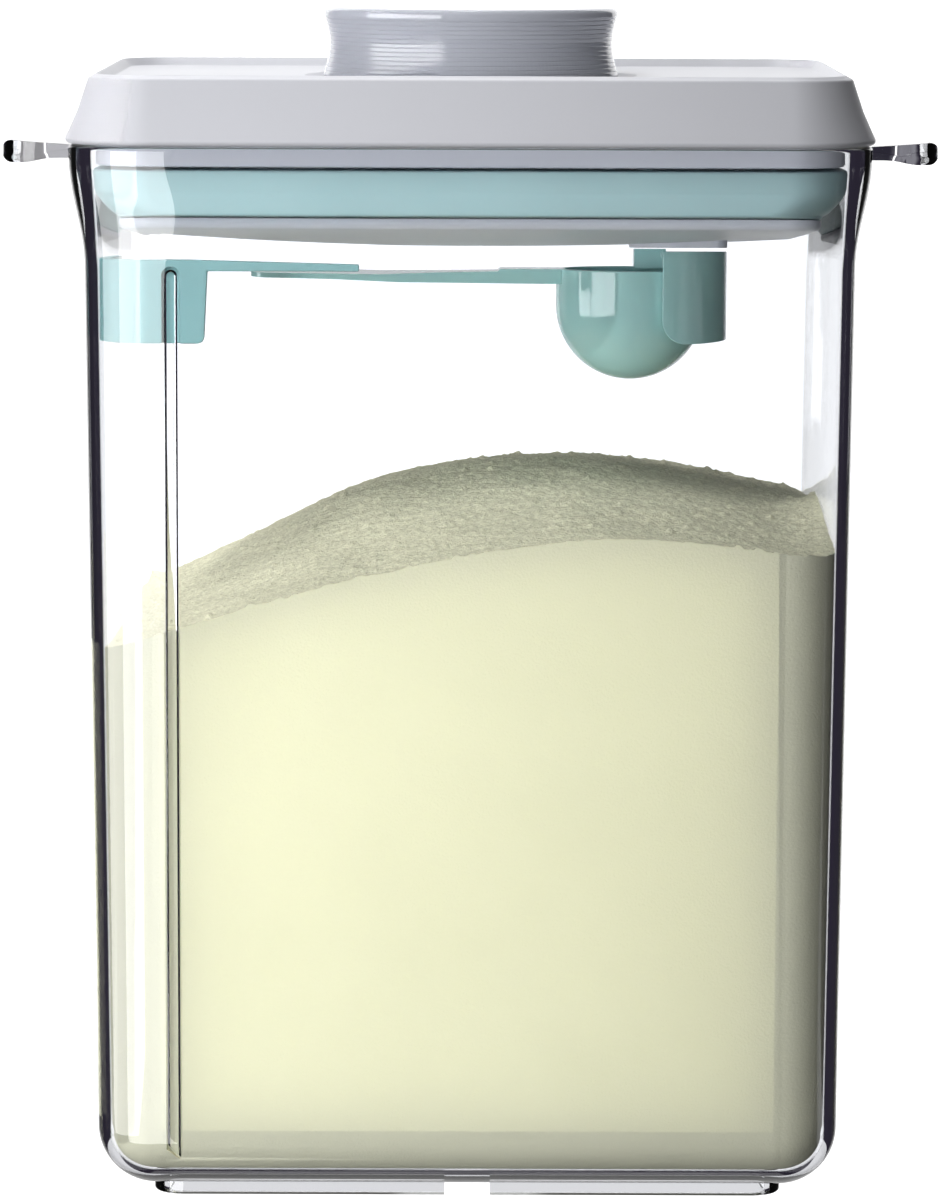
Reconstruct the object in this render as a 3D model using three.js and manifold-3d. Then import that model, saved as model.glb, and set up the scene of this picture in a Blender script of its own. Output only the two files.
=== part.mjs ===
// Clear milk powder container with a push-button lid, a powder leveller and a scoop clipped under the lid.
// Millimetres, +Z up, the front faces -Y, origin at the bottom centre of the foot rails.
import * as THREE from 'three';
import { mergeVertices } from 'three/addons/utils/BufferGeometryUtils.js';
import Module from 'manifold-3d';

const wasm = await Module();
wasm.setup();

// Driving dimensions

// Every level of the canister and lid is a rounded rectangle. The centres of its four corner arcs
// stay on the same vertical lines, so only the corner radius changes with height.
const CORNER_X = 61.3;
const CORNER_Y = 40.1;
const CORNER_STEPS = 8;
const EDGE_STEPS = 4;
const FIT_GAP = 0.3;

// How far a cutting shape runs past the shape that it cuts
const OVERCUT = 1;

// Canister levels and corner radii
const BASE_Z = 2.8;
const RIM_Z = 207.7;
const NECK_Z = 184;
const FILLET_OUT = 11.5;
const FILLET_IN = 8;
const FLOOR_Z = 5.4;
const OUT_BOTTOM_R = 11.7;
const OUT_TOP_R = 13.45;
const NECK_FLARE = 3.05;
const FLARE_END_Z = RIM_Z - 2;
const NECK_STEPS = 7;
const OUT_FILLET_STEPS = 7;
const IN_FILLET_STEPS = 6;
const WALL_LEVELS = [70, 130];
const IN_BOTTOM_R = 9.3;
const IN_NECK_R = 11.0;
const IN_RIM_R = 12.3;
const RIM_ROUND = 0.7;

// Foot rails under the canister
const FOOT_OUT_X = 62.2;
const FOOT_OUT_Y = 41.0;
const FOOT_CORNER_R = 6;
const FOOT_WIDE = 3;
const FOOT_SUNK = 0.6;
const FOOT_GAP_WIDE = 9;

// Handles at both ends of the rim
const EAR_TIP_X = 92.5;
const EAR_DEEP = 50;
const EAR_CORNER_R = 8;
const EAR_ROOT_X = 74.8;
const EAR_THIN_TO_X = 80.8;
const EAR_ROOT_TOP_Z = 206.65;
const EAR_ROOT_LOW_Z = 204.2;
const EAR_TIP_TOP_Z = 207.6;
const EAR_BEAD_LOW_Z = 203.2;
const EAR_BEAD_FULL_X = 89.5;
const EAR_TIP_ROUND = 2.2;
const EAR_BEAD_STEPS = 5;
const EAR_PLAN_STEPS = 6;

// Guide rib on the inside of the front wall
const RIB_X = -57.45;
const RIB_WIDE = 2.5;
const RIB_PROUD = 1.6;
const RIB_TOP_Z = 184.3;
const RIB_END_Z = 10;
const RIB_END_SLANT = 2.4;
const RIB_SUNK = 1;
const RIB_STEPS = 6;
const RIB_CHAMFER = 0.4;

// Powder surface. Along the front wall it climbs from the left to a peak right of the middle and dips to
// the right. Behind that line it swells into a broad hump, and it banks up against the right wall.
const POWDER_LEFT_Z = 109.8;
const POWDER_PEAK_Z = 132.3;
const POWDER_RIGHT_Z = 127.7;
const POWDER_PEAK_X = 27;
const POWDER_CLIMB_POWER = 1.5;
const POWDER_CREST_Y = 22;
const POWDER_BACK_DIP = 0.4;
const HUMP_X = -14;
const HUMP_HIGH = 10.6;
const HUMP_LEFT_WIDE = 36;
const HUMP_RIGHT_WIDE = 62;
const HUMP_RIGHT_FOOT = 3;
const BANK_X = 58;
const BANK_LONG = 13.5;
const BANK_Y = -12;
const BANK_WIDE = 26;
const BANK_HIGH = 5;
const POWDER_CELLS_X = 38;
const POWDER_CELLS_Y = 27;
const POWDER_BLOCK_HIGH = 150;

// Lumps on the powder
const LUMP_SEED = 17;
const LUMP_COUNT = 46;
const LUMP_LEAST_WIDE = 3.5;
const LUMP_MORE_WIDE = 5;
const LUMP_HIGH = 1.5;
const LUMP_PIT_SHARE = 0.42;
const LUMP_REACH_X = CORNER_X + 6;
const LUMP_REACH_Y = CORNER_Y + 8;

// Lid
const LID_BOTTOM_Z = 208.0;
const LID_TOP_Z = 220.9;
const LID_BOTTOM_R = 17.0;
const LID_TOP_R = 12.7;
const LID_EDGE_ROUND = 0.9;
const LID_LEAN_DEGREES = 15;
const LID_SIDE_HOLLOW = 0.25;
const LID_CREST_R = 11;
const LID_CREST_Z = 221.4;
const LID_RECESS_R = 9.2;
const LID_RECESS_Z = 219.8;
const DISH_R = 33.2;
const DISH_DEEP = 1.6;
const DISH_SIDE = 1;
const WELL_R = 30.2;
const WELL_FLOOR_Z = 198.6;

// Lid plug and its seal
const PLUG_R = 11.2;
const PLUG_LEDGE_Z = 204.1;
const PLUG_CORE_R = 2.7;
const SEAL_TOP_Z = 203.45;
const SEAL_LIP_Z = 200.4;
const SEAL_LIP_UNDER_Z = 199.6;
const SEAL_BOTTOM_Z = 195;
const SEAL_TOP_R = 11.7;
const SEAL_LIP_R = 11.5;
const SEAL_UNDER_R = 11.3;
const SEAL_FOOT_R = 10.9;
const SEAL_FOOT_SHARE = 0.935;
const SEAL_ROUND = 0.5;
const TRAY_R = 6.7;
const TRAY_BOTTOM_Z = 192.55;
const TRAY_ROUND = 1.4;
const DOME_R = 4.2;
const DOME_Z = 189.3;
const DOME_STEPS = 6;
const PAD_X = 41.7;
const PAD_LONG = 19;
const PAD_WIDE = 27;
const PAD_CORNER_R = 3;
const PAD_Z = 188.9;

// Push button
const BUTTON_TOP_Z = 233.4;
const BUTTON_BOTTOM_Z = 208.6;
const BUTTON_R = 29.6;
const BUTTON_WAIST_R = 28.3;
const BUTTON_RIM_R = 29.4;
const BUTTON_FLANGE = 1.6;
const BUTTON_ROUND = 1.5;
const BUTTON_FOOT_ROUND = 0.8;
const BUTTON_WAIST_STEPS = 8;
const BUTTON_STEPS = 60;

// Scoop
const SCOOP_X = 32.2;
const SCOOP_R = 14.9;
const SCOOP_WALL = 1.4;
const SCOOP_RIM_Z = 181.65;
const SCOOP_BOTTOM_Z = 158.8;
const SCOOP_STEPS = 40;
const BALL_STEPS = 9;
const HANDLE_ROOT_X = 18.3;
const HANDLE_TIP_X = -44;
const HANDLE_WIDE = 11;
const HANDLE_CORNER_R = 4;

// Front view of the handle's top and underside, as points [x, z] from the cup to the tip
const HANDLE_TOP = [[6, SCOOP_RIM_Z], [5.5, 180.9], [-18, 180.1], [HANDLE_TIP_X, 180.5]];
const HANDLE_UNDERSIDE = [[HANDLE_ROOT_X, 178.2], [-14, 178.5], [-28, 179.15], [HANDLE_TIP_X, 179.5]];

// Clip that holds the scoop under the lid
const CLIP_X = 34.6;
const CLIP_LONG_R = 17;
const CLIP_ROUND_R = 16.2;
const CLIP_WALL = 1.8;
const CLIP_JAW_X = 38.2;
const CLIP_TOP_Z = 187.75;
const CLIP_BOTTOM_Z = 166.9;
const CLIP_STEPS = 44;
const CLIP_JAW_CORNER_R = 5;
const CLIP_PLATE = 1.8;
const STOP_LEFT_X = 32.8;
const STOP_WIDE = 9;

// Leveller on the front wall
const LEVELLER_TOP_Z = 186.2;
const LEVELLER_BAR_Z = 183.95;
const LEVELLER_BAR_TOP_Z = 185.35;
const LEVELLER_SLOPE_X = -54;
const LEVELLER_BOTTOM_Z = 170;
const LEVELLER_THICK = 2.2;
const LEVELLER_BLOCK_X = -50.4;
const LEVELLER_BLOCK_FOOT_X = -51.1;
const LEVELLER_ROUND = 1.2;
const LEVELLER_END_X = -21.3;
const LEVELLER_RETURN_Y = -20;
const GROOVE_WIDE = 3.4;

// Solids and meshes

function toSolid(geometry) {
  const bare = geometry.index ? geometry.toNonIndexed() : geometry.clone();
  for (const name of Object.keys(bare.attributes)) {
    if (name !== 'position') bare.deleteAttribute(name);
  }
  const merged = mergeVertices(bare, 1e-4);
  const corners = merged.index.array;
  const kept = [];
  for (let i = 0; i < corners.length; i += 3) {
    const [a, b, c] = [corners[i], corners[i + 1], corners[i + 2]];
    if (a !== b && b !== c && c !== a) kept.push(a, b, c);
  }
  return new wasm.Manifold(new wasm.Mesh({
    numProp: 3,
    vertProperties: new Float32Array(merged.attributes.position.array),
    triVerts: new Uint32Array(kept),
  }));
}

function toGeometry(solid) {
  const mesh = solid.getMesh();
  const geometry = new THREE.BufferGeometry();
  geometry.setAttribute('position', new THREE.BufferAttribute(new Float32Array(mesh.vertProperties), 3));
  geometry.setIndex(new THREE.BufferAttribute(new Uint32Array(mesh.triVerts), 1));
  geometry.computeVertexNormals();
  return geometry;
}

function node(name, solid, colour, roughness) {
  const material = new THREE.MeshStandardMaterial({ color: colour, roughness, metalness: 0 });
  const mesh = new THREE.Mesh(toGeometry(solid), material);
  mesh.name = name;
  return mesh;
}

// A lathe turned round one corner arc, then pulled apart into four corners.
// A profile point is [corner radius, height, share of the corner spacing along X, share along Y]. Left out,
// the shares are 1 and the same as along X.
function cornerLathe(profile, steps = CORNER_STEPS) {
  const segments = 4 * steps;
  const start = Math.PI / segments;
  const points = profile.map(([radius, height]) => new THREE.Vector2(radius, height));
  const geometry = new THREE.LatheGeometry(points, segments, start, 2 * Math.PI);
  const position = geometry.attributes.position;
  for (let turn = 0; turn <= segments; turn += 1) {
    const angle = start + (turn * 2 * Math.PI) / segments;
    for (let j = 0; j < profile.length; j += 1) {
      const [, , shareX = 1, shareY = shareX] = profile[j];
      const i = turn * profile.length + j;
      position.setX(i, position.getX(i) + shareX * CORNER_X * Math.sign(Math.sin(angle)));
      position.setZ(i, position.getZ(i) + shareY * CORNER_Y * Math.sign(Math.cos(angle)));
    }
  }
  return toSolid(geometry.rotateX(Math.PI / 2));
}

function lathe(profile, segments) {
  const points = profile.map(([radius, height]) => new THREE.Vector2(radius, height));
  return toSolid(new THREE.LatheGeometry(points, segments).rotateX(Math.PI / 2));
}

function arcPoints(centreR, centreZ, radius, fromDegrees, toDegrees, steps) {
  const points = [];
  for (let i = 0; i <= steps; i += 1) {
    const angle = THREE.MathUtils.degToRad(fromDegrees + ((toDegrees - fromDegrees) * i) / steps);
    points.push([centreR + radius * Math.cos(angle), centreZ + radius * Math.sin(angle)]);
  }
  return points;
}

function roundedRectangle(halfX, halfY, radius) {
  const shape = new THREE.Shape();
  shape.moveTo(-halfX + radius, -halfY);
  shape.lineTo(halfX - radius, -halfY);
  shape.absarc(halfX - radius, -halfY + radius, radius, -Math.PI / 2, 0);
  shape.lineTo(halfX, halfY - radius);
  shape.absarc(halfX - radius, halfY - radius, radius, 0, Math.PI / 2);
  shape.lineTo(-halfX + radius, halfY);
  shape.absarc(-halfX + radius, halfY - radius, radius, Math.PI / 2, Math.PI);
  shape.lineTo(-halfX, -halfY + radius);
  shape.absarc(-halfX + radius, -halfY + radius, radius, Math.PI, 1.5 * Math.PI);
  return shape;
}

// A plan outline raised from one height to another
function upright(shape, lowZ, highZ, curveSegments = CORNER_STEPS) {
  const settings = { depth: highZ - lowZ, bevelEnabled: false, curveSegments };
  return toSolid(new THREE.ExtrudeGeometry(shape, settings).translate(0, 0, lowZ));
}

// A front view outline (x, z) run from one depth to another
function frontToBack(shape, frontY, backY, curveSegments = CORNER_STEPS) {
  const settings = { depth: backY - frontY, bevelEnabled: false, curveSegments };
  const geometry = new THREE.ExtrudeGeometry(shape, settings);
  return toSolid(geometry.rotateX(Math.PI / 2).translate(0, backY, 0));
}

function block(lowX, highX, lowY, highY, lowZ, highZ) {
  const geometry = new THREE.BoxGeometry(highX - lowX, highY - lowY, highZ - lowZ);
  return toSolid(geometry.translate((lowX + highX) / 2, (lowY + highY) / 2, (lowZ + highZ) / 2));
}

// Canister walls

function outerRadius(z) {
  const draft = (z - BASE_Z - FILLET_OUT) / (NECK_Z - BASE_Z - FILLET_OUT);
  const body = THREE.MathUtils.lerp(OUT_BOTTOM_R, OUT_TOP_R, Math.min(draft, 1));
  const climb = THREE.MathUtils.clamp((z - NECK_Z) / (FLARE_END_Z - NECK_Z), 0, 1);
  return body + NECK_FLARE * (0.5 - 0.5 * Math.cos(Math.PI * climb));
}

function innerRadius(z) {
  if (z > NECK_Z) return THREE.MathUtils.mapLinear(z, NECK_Z, RIM_Z, IN_NECK_R, IN_RIM_R);
  return THREE.MathUtils.mapLinear(z, FLOOR_Z + FILLET_IN, NECK_Z, IN_BOTTOM_R, IN_NECK_R);
}

function outerProfile() {
  const filletR = OUT_BOTTOM_R - FILLET_OUT;
  const fillet = arcPoints(filletR, BASE_Z + FILLET_OUT, FILLET_OUT, -90, 0, OUT_FILLET_STEPS);
  const heights = [...WALL_LEVELS, NECK_Z];
  for (let i = 1; i <= NECK_STEPS; i += 1) {
    heights.push(THREE.MathUtils.lerp(NECK_Z, RIM_Z - RIM_ROUND, i / NECK_STEPS));
  }
  return [...fillet, ...heights.map((z) => [outerRadius(z), z])];
}

// The inside from the floor up, set back from the wall by a gap (0 for the wall itself)
function innerProfile(gap) {
  const filletR = IN_BOTTOM_R - FILLET_IN - gap;
  const fillet = arcPoints(filletR, FLOOR_Z + FILLET_IN + gap, FILLET_IN, -90, 0, IN_FILLET_STEPS);
  const heights = [...WALL_LEVELS, NECK_Z, RIM_Z - RIM_ROUND];
  const wall = [...fillet.slice(1), ...heights.map((z) => [innerRadius(z) - gap, z])];
  return [[0, FLOOR_Z + gap, 0], fillet[0], ...wall];
}

function canisterShell() {
  const outer = outerProfile();
  const inner = innerProfile(0).reverse();
  const rimOut = [outerRadius(RIM_Z) - RIM_ROUND, RIM_Z];
  const rimIn = [IN_RIM_R + RIM_ROUND, RIM_Z];
  return cornerLathe([[0, BASE_Z, 0], ...outer, rimOut, rimIn, ...inner]);
}

function footRails() {
  const outline = roundedRectangle(FOOT_OUT_X, FOOT_OUT_Y, FOOT_CORNER_R);
  const insideR = FOOT_CORNER_R - FOOT_WIDE;
  outline.holes.push(roundedRectangle(FOOT_OUT_X - FOOT_WIDE, FOOT_OUT_Y - FOOT_WIDE, insideR));
  const ring = upright(outline, 0, BASE_Z + FOOT_SUNK);
  const half = FOOT_GAP_WIDE / 2;
  const farY = FOOT_OUT_Y + OVERCUT;
  return ring.subtract(block(-half, half, -farY, farY, -OVERCUT, BASE_Z));
}

// Handle with a thin root and a thick bead along its tip, rounded in plan
function ear(side) {
  const [tip, round] = [EAR_TIP_X, EAR_TIP_ROUND];
  const [rootZ, beadZ, topZ] = [EAR_ROOT_LOW_Z, EAR_BEAD_LOW_Z, EAR_TIP_TOP_Z];
  const bendX = (EAR_THIN_TO_X + EAR_BEAD_FULL_X) / 2;
  const section = new THREE.Shape();
  section.moveTo(EAR_ROOT_X, rootZ);
  section.lineTo(EAR_THIN_TO_X, rootZ);
  section.bezierCurveTo(bendX, rootZ, bendX, beadZ, EAR_BEAD_FULL_X, beadZ);
  section.quadraticCurveTo(tip, beadZ, tip, beadZ + round);
  section.quadraticCurveTo(tip, topZ, tip - round, topZ);
  section.lineTo(EAR_ROOT_X, EAR_ROOT_TOP_Z);
  const bar = frontToBack(section, -EAR_DEEP / 2, EAR_DEEP / 2, EAR_BEAD_STEPS);
  const outline = roundedRectangle(tip, EAR_DEEP / 2, EAR_CORNER_R);
  const solid = bar.intersect(upright(outline, beadZ - OVERCUT, topZ + OVERCUT, EAR_PLAN_STEPS));
  return side > 0 ? solid : solid.mirror([1, 0, 0]);
}

// Outline of the rib in the front view; the leveller's groove uses it too, grown by a margin
function ribOutline(margin, endZ, slant) {
  const half = RIB_WIDE / 2 + margin;
  const shape = new THREE.Shape();
  shape.moveTo(RIB_X - half, endZ + slant);
  shape.lineTo(RIB_X + half, endZ);
  shape.lineTo(RIB_X + half, RIB_TOP_Z - RIB_WIDE / 2);
  shape.absarc(RIB_X, RIB_TOP_Z - RIB_WIDE / 2, half, 0, Math.PI);
  return shape;
}

// The rib leans with the draft of the wall that it stands on, and its long edges are taken off
function rib(margin, endZ, slant) {
  const lean = Math.atan((IN_NECK_R - IN_BOTTOM_R) / (NECK_Z - FLOOR_Z - FILLET_IN));
  const proud = RIB_PROUD + margin;
  const bar = new THREE.ExtrudeGeometry(ribOutline(margin - RIB_CHAMFER, endZ, slant), {
    depth: proud + RIB_SUNK - 2 * RIB_CHAMFER,
    bevelEnabled: true,
    bevelThickness: RIB_CHAMFER,
    bevelSize: RIB_CHAMFER,
    bevelSegments: 1,
    curveSegments: RIB_STEPS,
  });
  bar.rotateX(Math.PI / 2);
  bar.translate(0, proud - RIB_CHAMFER, -NECK_Z);
  bar.rotateX(lean);
  return toSolid(bar.translate(0, -CORNER_Y - IN_NECK_R, NECK_Z));
}

function canister() {
  return canisterShell().add(footRails()).add(ear(1)).add(ear(-1)).add(rib(0, RIB_END_Z, RIB_END_SLANT));
}

// Milk powder, uneven on top, with lumps that a few scoops have left

function seededDraws(seed) {
  let state = seed;
  return () => {
    state = (state * 1664525 + 1013904223) % 4294967296;
    return state / 4294967296;
  };
}

function powderLumps() {
  const draw = seededDraws(LUMP_SEED);
  const lumps = [];
  for (let i = 0; i < LUMP_COUNT; i += 1) {
    lumps.push({
      x: (draw() * 2 - 1) * LUMP_REACH_X,
      y: (draw() * 2 - 1) * LUMP_REACH_Y,
      wide: LUMP_LEAST_WIDE + LUMP_MORE_WIDE * draw(),
      high: LUMP_HIGH * (draw() - LUMP_PIT_SHARE),
    });
  }
  return lumps;
}

// Height of the powder along the front wall
function powderLine(x) {
  const span = CORNER_X + IN_BOTTOM_R;
  const left = Math.max(POWDER_PEAK_X - x, 0) / (POWDER_PEAK_X + span);
  const right = Math.max(x - POWDER_PEAK_X, 0) / (span - POWDER_PEAK_X);
  const drop = (POWDER_PEAK_Z - POWDER_LEFT_Z) * left ** POWDER_CLIMB_POWER;
  return POWDER_PEAK_Z - drop - (POWDER_PEAK_Z - POWDER_RIGHT_Z) * right ** 2;
}

function powderLevel(x, y, lumps) {
  const frontY = -CORNER_Y - IN_NECK_R;
  const climb = THREE.MathUtils.clamp((y - frontY) / (POWDER_CREST_Y - frontY), 0, 1);
  const fall = Math.max(y - POWDER_CREST_Y, 0) / (-frontY - POWDER_CREST_Y);
  const across = Math.sin((Math.PI / 2) * climb) - POWDER_BACK_DIP * fall ** 2;
  const [foot, wide] = x < HUMP_X ? [0, HUMP_LEFT_WIDE] : [HUMP_RIGHT_FOOT, HUMP_RIGHT_WIDE];
  const hump = foot + (HUMP_HIGH - foot) * Math.exp(-(((x - HUMP_X) / wide) ** 2));
  const banked = (Math.max(x - BANK_X, 0) / BANK_LONG) ** 2;
  const bank = BANK_HIGH * banked * Math.exp(-(((y - BANK_Y) / BANK_WIDE) ** 2));
  let z = powderLine(x) + across * hump + bank;
  for (const lump of lumps) {
    const away = ((x - lump.x) ** 2 + (y - lump.y) ** 2) / lump.wide ** 2;
    z += lump.high * Math.exp(-away);
  }
  return z;
}

function milkPowder() {
  const lumps = powderLumps();
  const wideX = 2 * (CORNER_X + IN_RIM_R);
  const wideY = 2 * (CORNER_Y + IN_RIM_R);
  const high = POWDER_BLOCK_HIGH;
  const heap = new THREE.BoxGeometry(wideX, wideY, high, POWDER_CELLS_X, POWDER_CELLS_Y, 1);
  heap.translate(0, 0, high / 2);
  const position = heap.attributes.position;
  for (let i = 0; i < position.count; i += 1) {
    if (position.getZ(i) < high / 2) continue;
    position.setZ(i, powderLevel(position.getX(i), position.getY(i), lumps));
  }
  const inside = cornerLathe([...innerProfile(FIT_GAP), [0, RIM_Z - RIM_ROUND, 0]]);
  const ribCut = rib(FIT_GAP, RIB_END_Z - OVERCUT, RIB_END_SLANT);
  return inside.intersect(toSolid(heap)).subtract(ribCut);
}

// Lid cover: sloping sides, a raised rim round a shallow recess, and the well that guides the button
function lidCover() {
  const [edge, lean] = [LID_EDGE_ROUND, LID_LEAN_DEGREES];
  const bottomRound = arcPoints(LID_BOTTOM_R - edge, LID_BOTTOM_Z + edge, edge, -90, lean, EDGE_STEPS);
  const topRound = arcPoints(LID_TOP_R - edge, LID_TOP_Z - edge, edge, lean, 90, EDGE_STEPS);
  const middle = [(LID_BOTTOM_R + LID_TOP_R) / 2 - LID_SIDE_HOLLOW, (LID_BOTTOM_Z + LID_TOP_Z) / 2];
  const crest = [LID_CREST_R, LID_CREST_Z];
  const recess = [[LID_RECESS_R, LID_RECESS_Z], [0, LID_RECESS_Z, 0]];
  const outside = [[0, LID_BOTTOM_Z, 0], ...bottomRound, middle, ...topRound];
  const well = lathe([
    [0, LID_BOTTOM_Z - OVERCUT],
    [WELL_R, LID_BOTTOM_Z - OVERCUT],
    [WELL_R, LID_RECESS_Z - DISH_DEEP],
    [DISH_R - DISH_SIDE, LID_RECESS_Z - DISH_DEEP / 2],
    [DISH_R, LID_RECESS_Z],
    [DISH_R, LID_CREST_Z + OVERCUT],
    [0, LID_CREST_Z + OVERCUT],
  ], BUTTON_STEPS);
  return cornerLathe([...outside, crest, ...recess]).subtract(well);
}

// Plug: fills the rim, carries the seal round its core, and ends in a tray with a domed underside
function lidPlug() {
  const dome = [];
  for (let i = 0; i < DOME_STEPS; i += 1) {
    const share = i / DOME_STEPS;
    dome.push([DOME_R * share, THREE.MathUtils.lerp(DOME_Z, TRAY_BOTTOM_Z, share ** 2), share]);
  }
  const trayTopZ = SEAL_BOTTOM_Z - FIT_GAP;
  const round = TRAY_ROUND;
  const body = cornerLathe([
    ...dome,
    ...arcPoints(TRAY_R - round, TRAY_BOTTOM_Z + round, round, -90, 0, EDGE_STEPS),
    [TRAY_R, trayTopZ],
    [PLUG_CORE_R, trayTopZ],
    [PLUG_CORE_R, PLUG_LEDGE_Z],
    [PLUG_R, PLUG_LEDGE_Z],
    [PLUG_R, RIM_Z],
    [0, RIM_Z, 0],
  ]);
  const padOutline = roundedRectangle(PAD_LONG / 2, PAD_WIDE / 2, PAD_CORNER_R);
  const pad = upright(padOutline, PAD_Z, TRAY_BOTTOM_Z + OVERCUT).translate([PAD_X, 0, 0]);
  const topZ = RIM_Z + OVERCUT;
  const well = lathe([[0, WELL_FLOOR_Z], [WELL_R, WELL_FLOOR_Z], [WELL_R, topZ], [0, topZ]], BUTTON_STEPS);
  return body.add(pad).subtract(well);
}

// Seal: a ring with an upright lip that meets the rim. Below the lip its front and back stay nearly
// upright, and its two ends draw in.
function sealRing() {
  const insideR = PLUG_CORE_R + FIT_GAP;
  return cornerLathe([
    [insideR, SEAL_BOTTOM_Z],
    [SEAL_FOOT_R - SEAL_ROUND, SEAL_BOTTOM_Z, SEAL_FOOT_SHARE, 1],
    [SEAL_FOOT_R, SEAL_BOTTOM_Z + SEAL_ROUND, SEAL_FOOT_SHARE, 1],
    [SEAL_UNDER_R, SEAL_LIP_UNDER_Z],
    [SEAL_LIP_R, SEAL_LIP_Z],
    [SEAL_TOP_R, SEAL_TOP_Z - SEAL_ROUND],
    [SEAL_TOP_R - SEAL_ROUND, SEAL_TOP_Z],
    [insideR, SEAL_TOP_Z],
    [insideR, SEAL_BOTTOM_Z],
  ]);
}

// Push button: a waisted round knob on a plain stem that slides in the well
function pushButton() {
  const rimZ = BUTTON_TOP_Z - BUTTON_FLANGE;
  const foot = BUTTON_FOOT_ROUND;
  const deep = (BUTTON_R + BUTTON_RIM_R) / 2 - BUTTON_WAIST_R;
  const waist = [];
  for (let i = 0; i <= BUTTON_WAIST_STEPS; i += 1) {
    const share = i / BUTTON_WAIST_STEPS;
    const radius = THREE.MathUtils.lerp(BUTTON_R, BUTTON_RIM_R, share) - deep * Math.sin(Math.PI * share);
    waist.push([radius, THREE.MathUtils.lerp(LID_RECESS_Z, rimZ, share)]);
  }
  const round = BUTTON_ROUND;
  const topRound = arcPoints(BUTTON_RIM_R - round, BUTTON_TOP_Z - round, round, 20, 90, EDGE_STEPS);
  return lathe([
    [0, BUTTON_BOTTOM_Z],
    [BUTTON_R - foot, BUTTON_BOTTOM_Z],
    [BUTTON_R, BUTTON_BOTTOM_Z + foot],
    ...waist,
    ...topRound,
    [0, BUTTON_TOP_Z],
  ], BUTTON_STEPS);
}

// Scoop: a round-bottomed cup with a long flat handle that thins towards its tip
function scoop() {
  const ballZ = SCOOP_BOTTOM_Z + SCOOP_R;
  const insideR = SCOOP_R - SCOOP_WALL;
  const outside = arcPoints(0, ballZ, SCOOP_R, -90, 0, BALL_STEPS);
  const inside = arcPoints(0, ballZ, insideR, 0, -90, BALL_STEPS - 1);
  outside[0][0] = 0;
  inside[inside.length - 1][0] = 0;
  const rim = [[SCOOP_R, SCOOP_RIM_Z], [insideR, SCOOP_RIM_Z]];
  const cup = lathe([...outside, ...rim, ...inside], SCOOP_STEPS);
  const corners = [[HANDLE_ROOT_X, SCOOP_RIM_Z], ...HANDLE_TOP, ...HANDLE_UNDERSIDE.toReversed()];
  const side = new THREE.Shape(corners.map(([x, z]) => new THREE.Vector2(x, z)));
  const bar = frontToBack(side, -HANDLE_WIDE / 2, HANDLE_WIDE / 2);
  const half = (SCOOP_X - HANDLE_TIP_X) / 2;
  const outline = roundedRectangle(half, HANDLE_WIDE / 2, HANDLE_CORNER_R);
  const plan = upright(outline, ballZ, SCOOP_RIM_Z + OVERCUT).translate([HANDLE_TIP_X + half, 0, 0]);
  const topZ = SCOOP_RIM_Z + OVERCUT;
  const hollow = lathe([[0, ballZ], [insideR, ballZ], [insideR, topZ], [0, topZ]], SCOOP_STEPS);
  const handle = bar.intersect(plan).subtract(hollow.translate([SCOOP_X, 0, 0]));
  return cup.translate([SCOOP_X, 0, 0]).add(handle);
}

// Scoop clip: a plate with a wall that bends round the cup, and a stop above the cup's rim that also
// carries the plate on the pad
function scoopClip() {
  const bend = (inset) => {
    const shape = new THREE.Shape();
    shape.absellipse(CLIP_X, 0, CLIP_LONG_R - inset, CLIP_ROUND_R - inset, 0, 2 * Math.PI);
    return shape;
  };
  const outline = bend(0);
  outline.holes.push(bend(CLIP_WALL));
  const ring = upright(outline, CLIP_BOTTOM_Z, CLIP_TOP_Z, CLIP_STEPS);
  const farX = CLIP_X + CLIP_LONG_R + OVERCUT;
  const farY = CLIP_ROUND_R + OVERCUT;
  const cornerX = CLIP_JAW_X + CLIP_JAW_CORNER_R;
  const cornerZ = CLIP_BOTTOM_Z + CLIP_JAW_CORNER_R;
  const jaw = new THREE.Shape();
  jaw.moveTo(cornerX, CLIP_BOTTOM_Z - OVERCUT);
  jaw.lineTo(cornerX, CLIP_BOTTOM_Z);
  jaw.absarc(cornerX, cornerZ, CLIP_JAW_CORNER_R, 1.5 * Math.PI, Math.PI, true);
  jaw.lineTo(CLIP_JAW_X, CLIP_TOP_Z + OVERCUT);
  jaw.lineTo(farX, CLIP_TOP_Z + OVERCUT);
  jaw.lineTo(farX, CLIP_BOTTOM_Z - OVERCUT);
  const wall = ring.intersect(frontToBack(jaw, -farY, farY));
  const oval = upright(bend(0), CLIP_TOP_Z - CLIP_PLATE, CLIP_TOP_Z, CLIP_STEPS);
  const plate = oval.intersect(block(CLIP_JAW_X, farX, -farY, farY, CLIP_BOTTOM_Z, CLIP_TOP_Z + OVERCUT));
  const stopLowZ = SCOOP_RIM_Z + FIT_GAP;
  const stopRightX = CLIP_JAW_X + CLIP_WALL;
  const stop = block(STOP_LEFT_X, stopRightX, -STOP_WIDE / 2, STOP_WIDE / 2, stopLowZ, PAD_Z - FIT_GAP);
  return wall.add(plate).add(stop);
}

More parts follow.
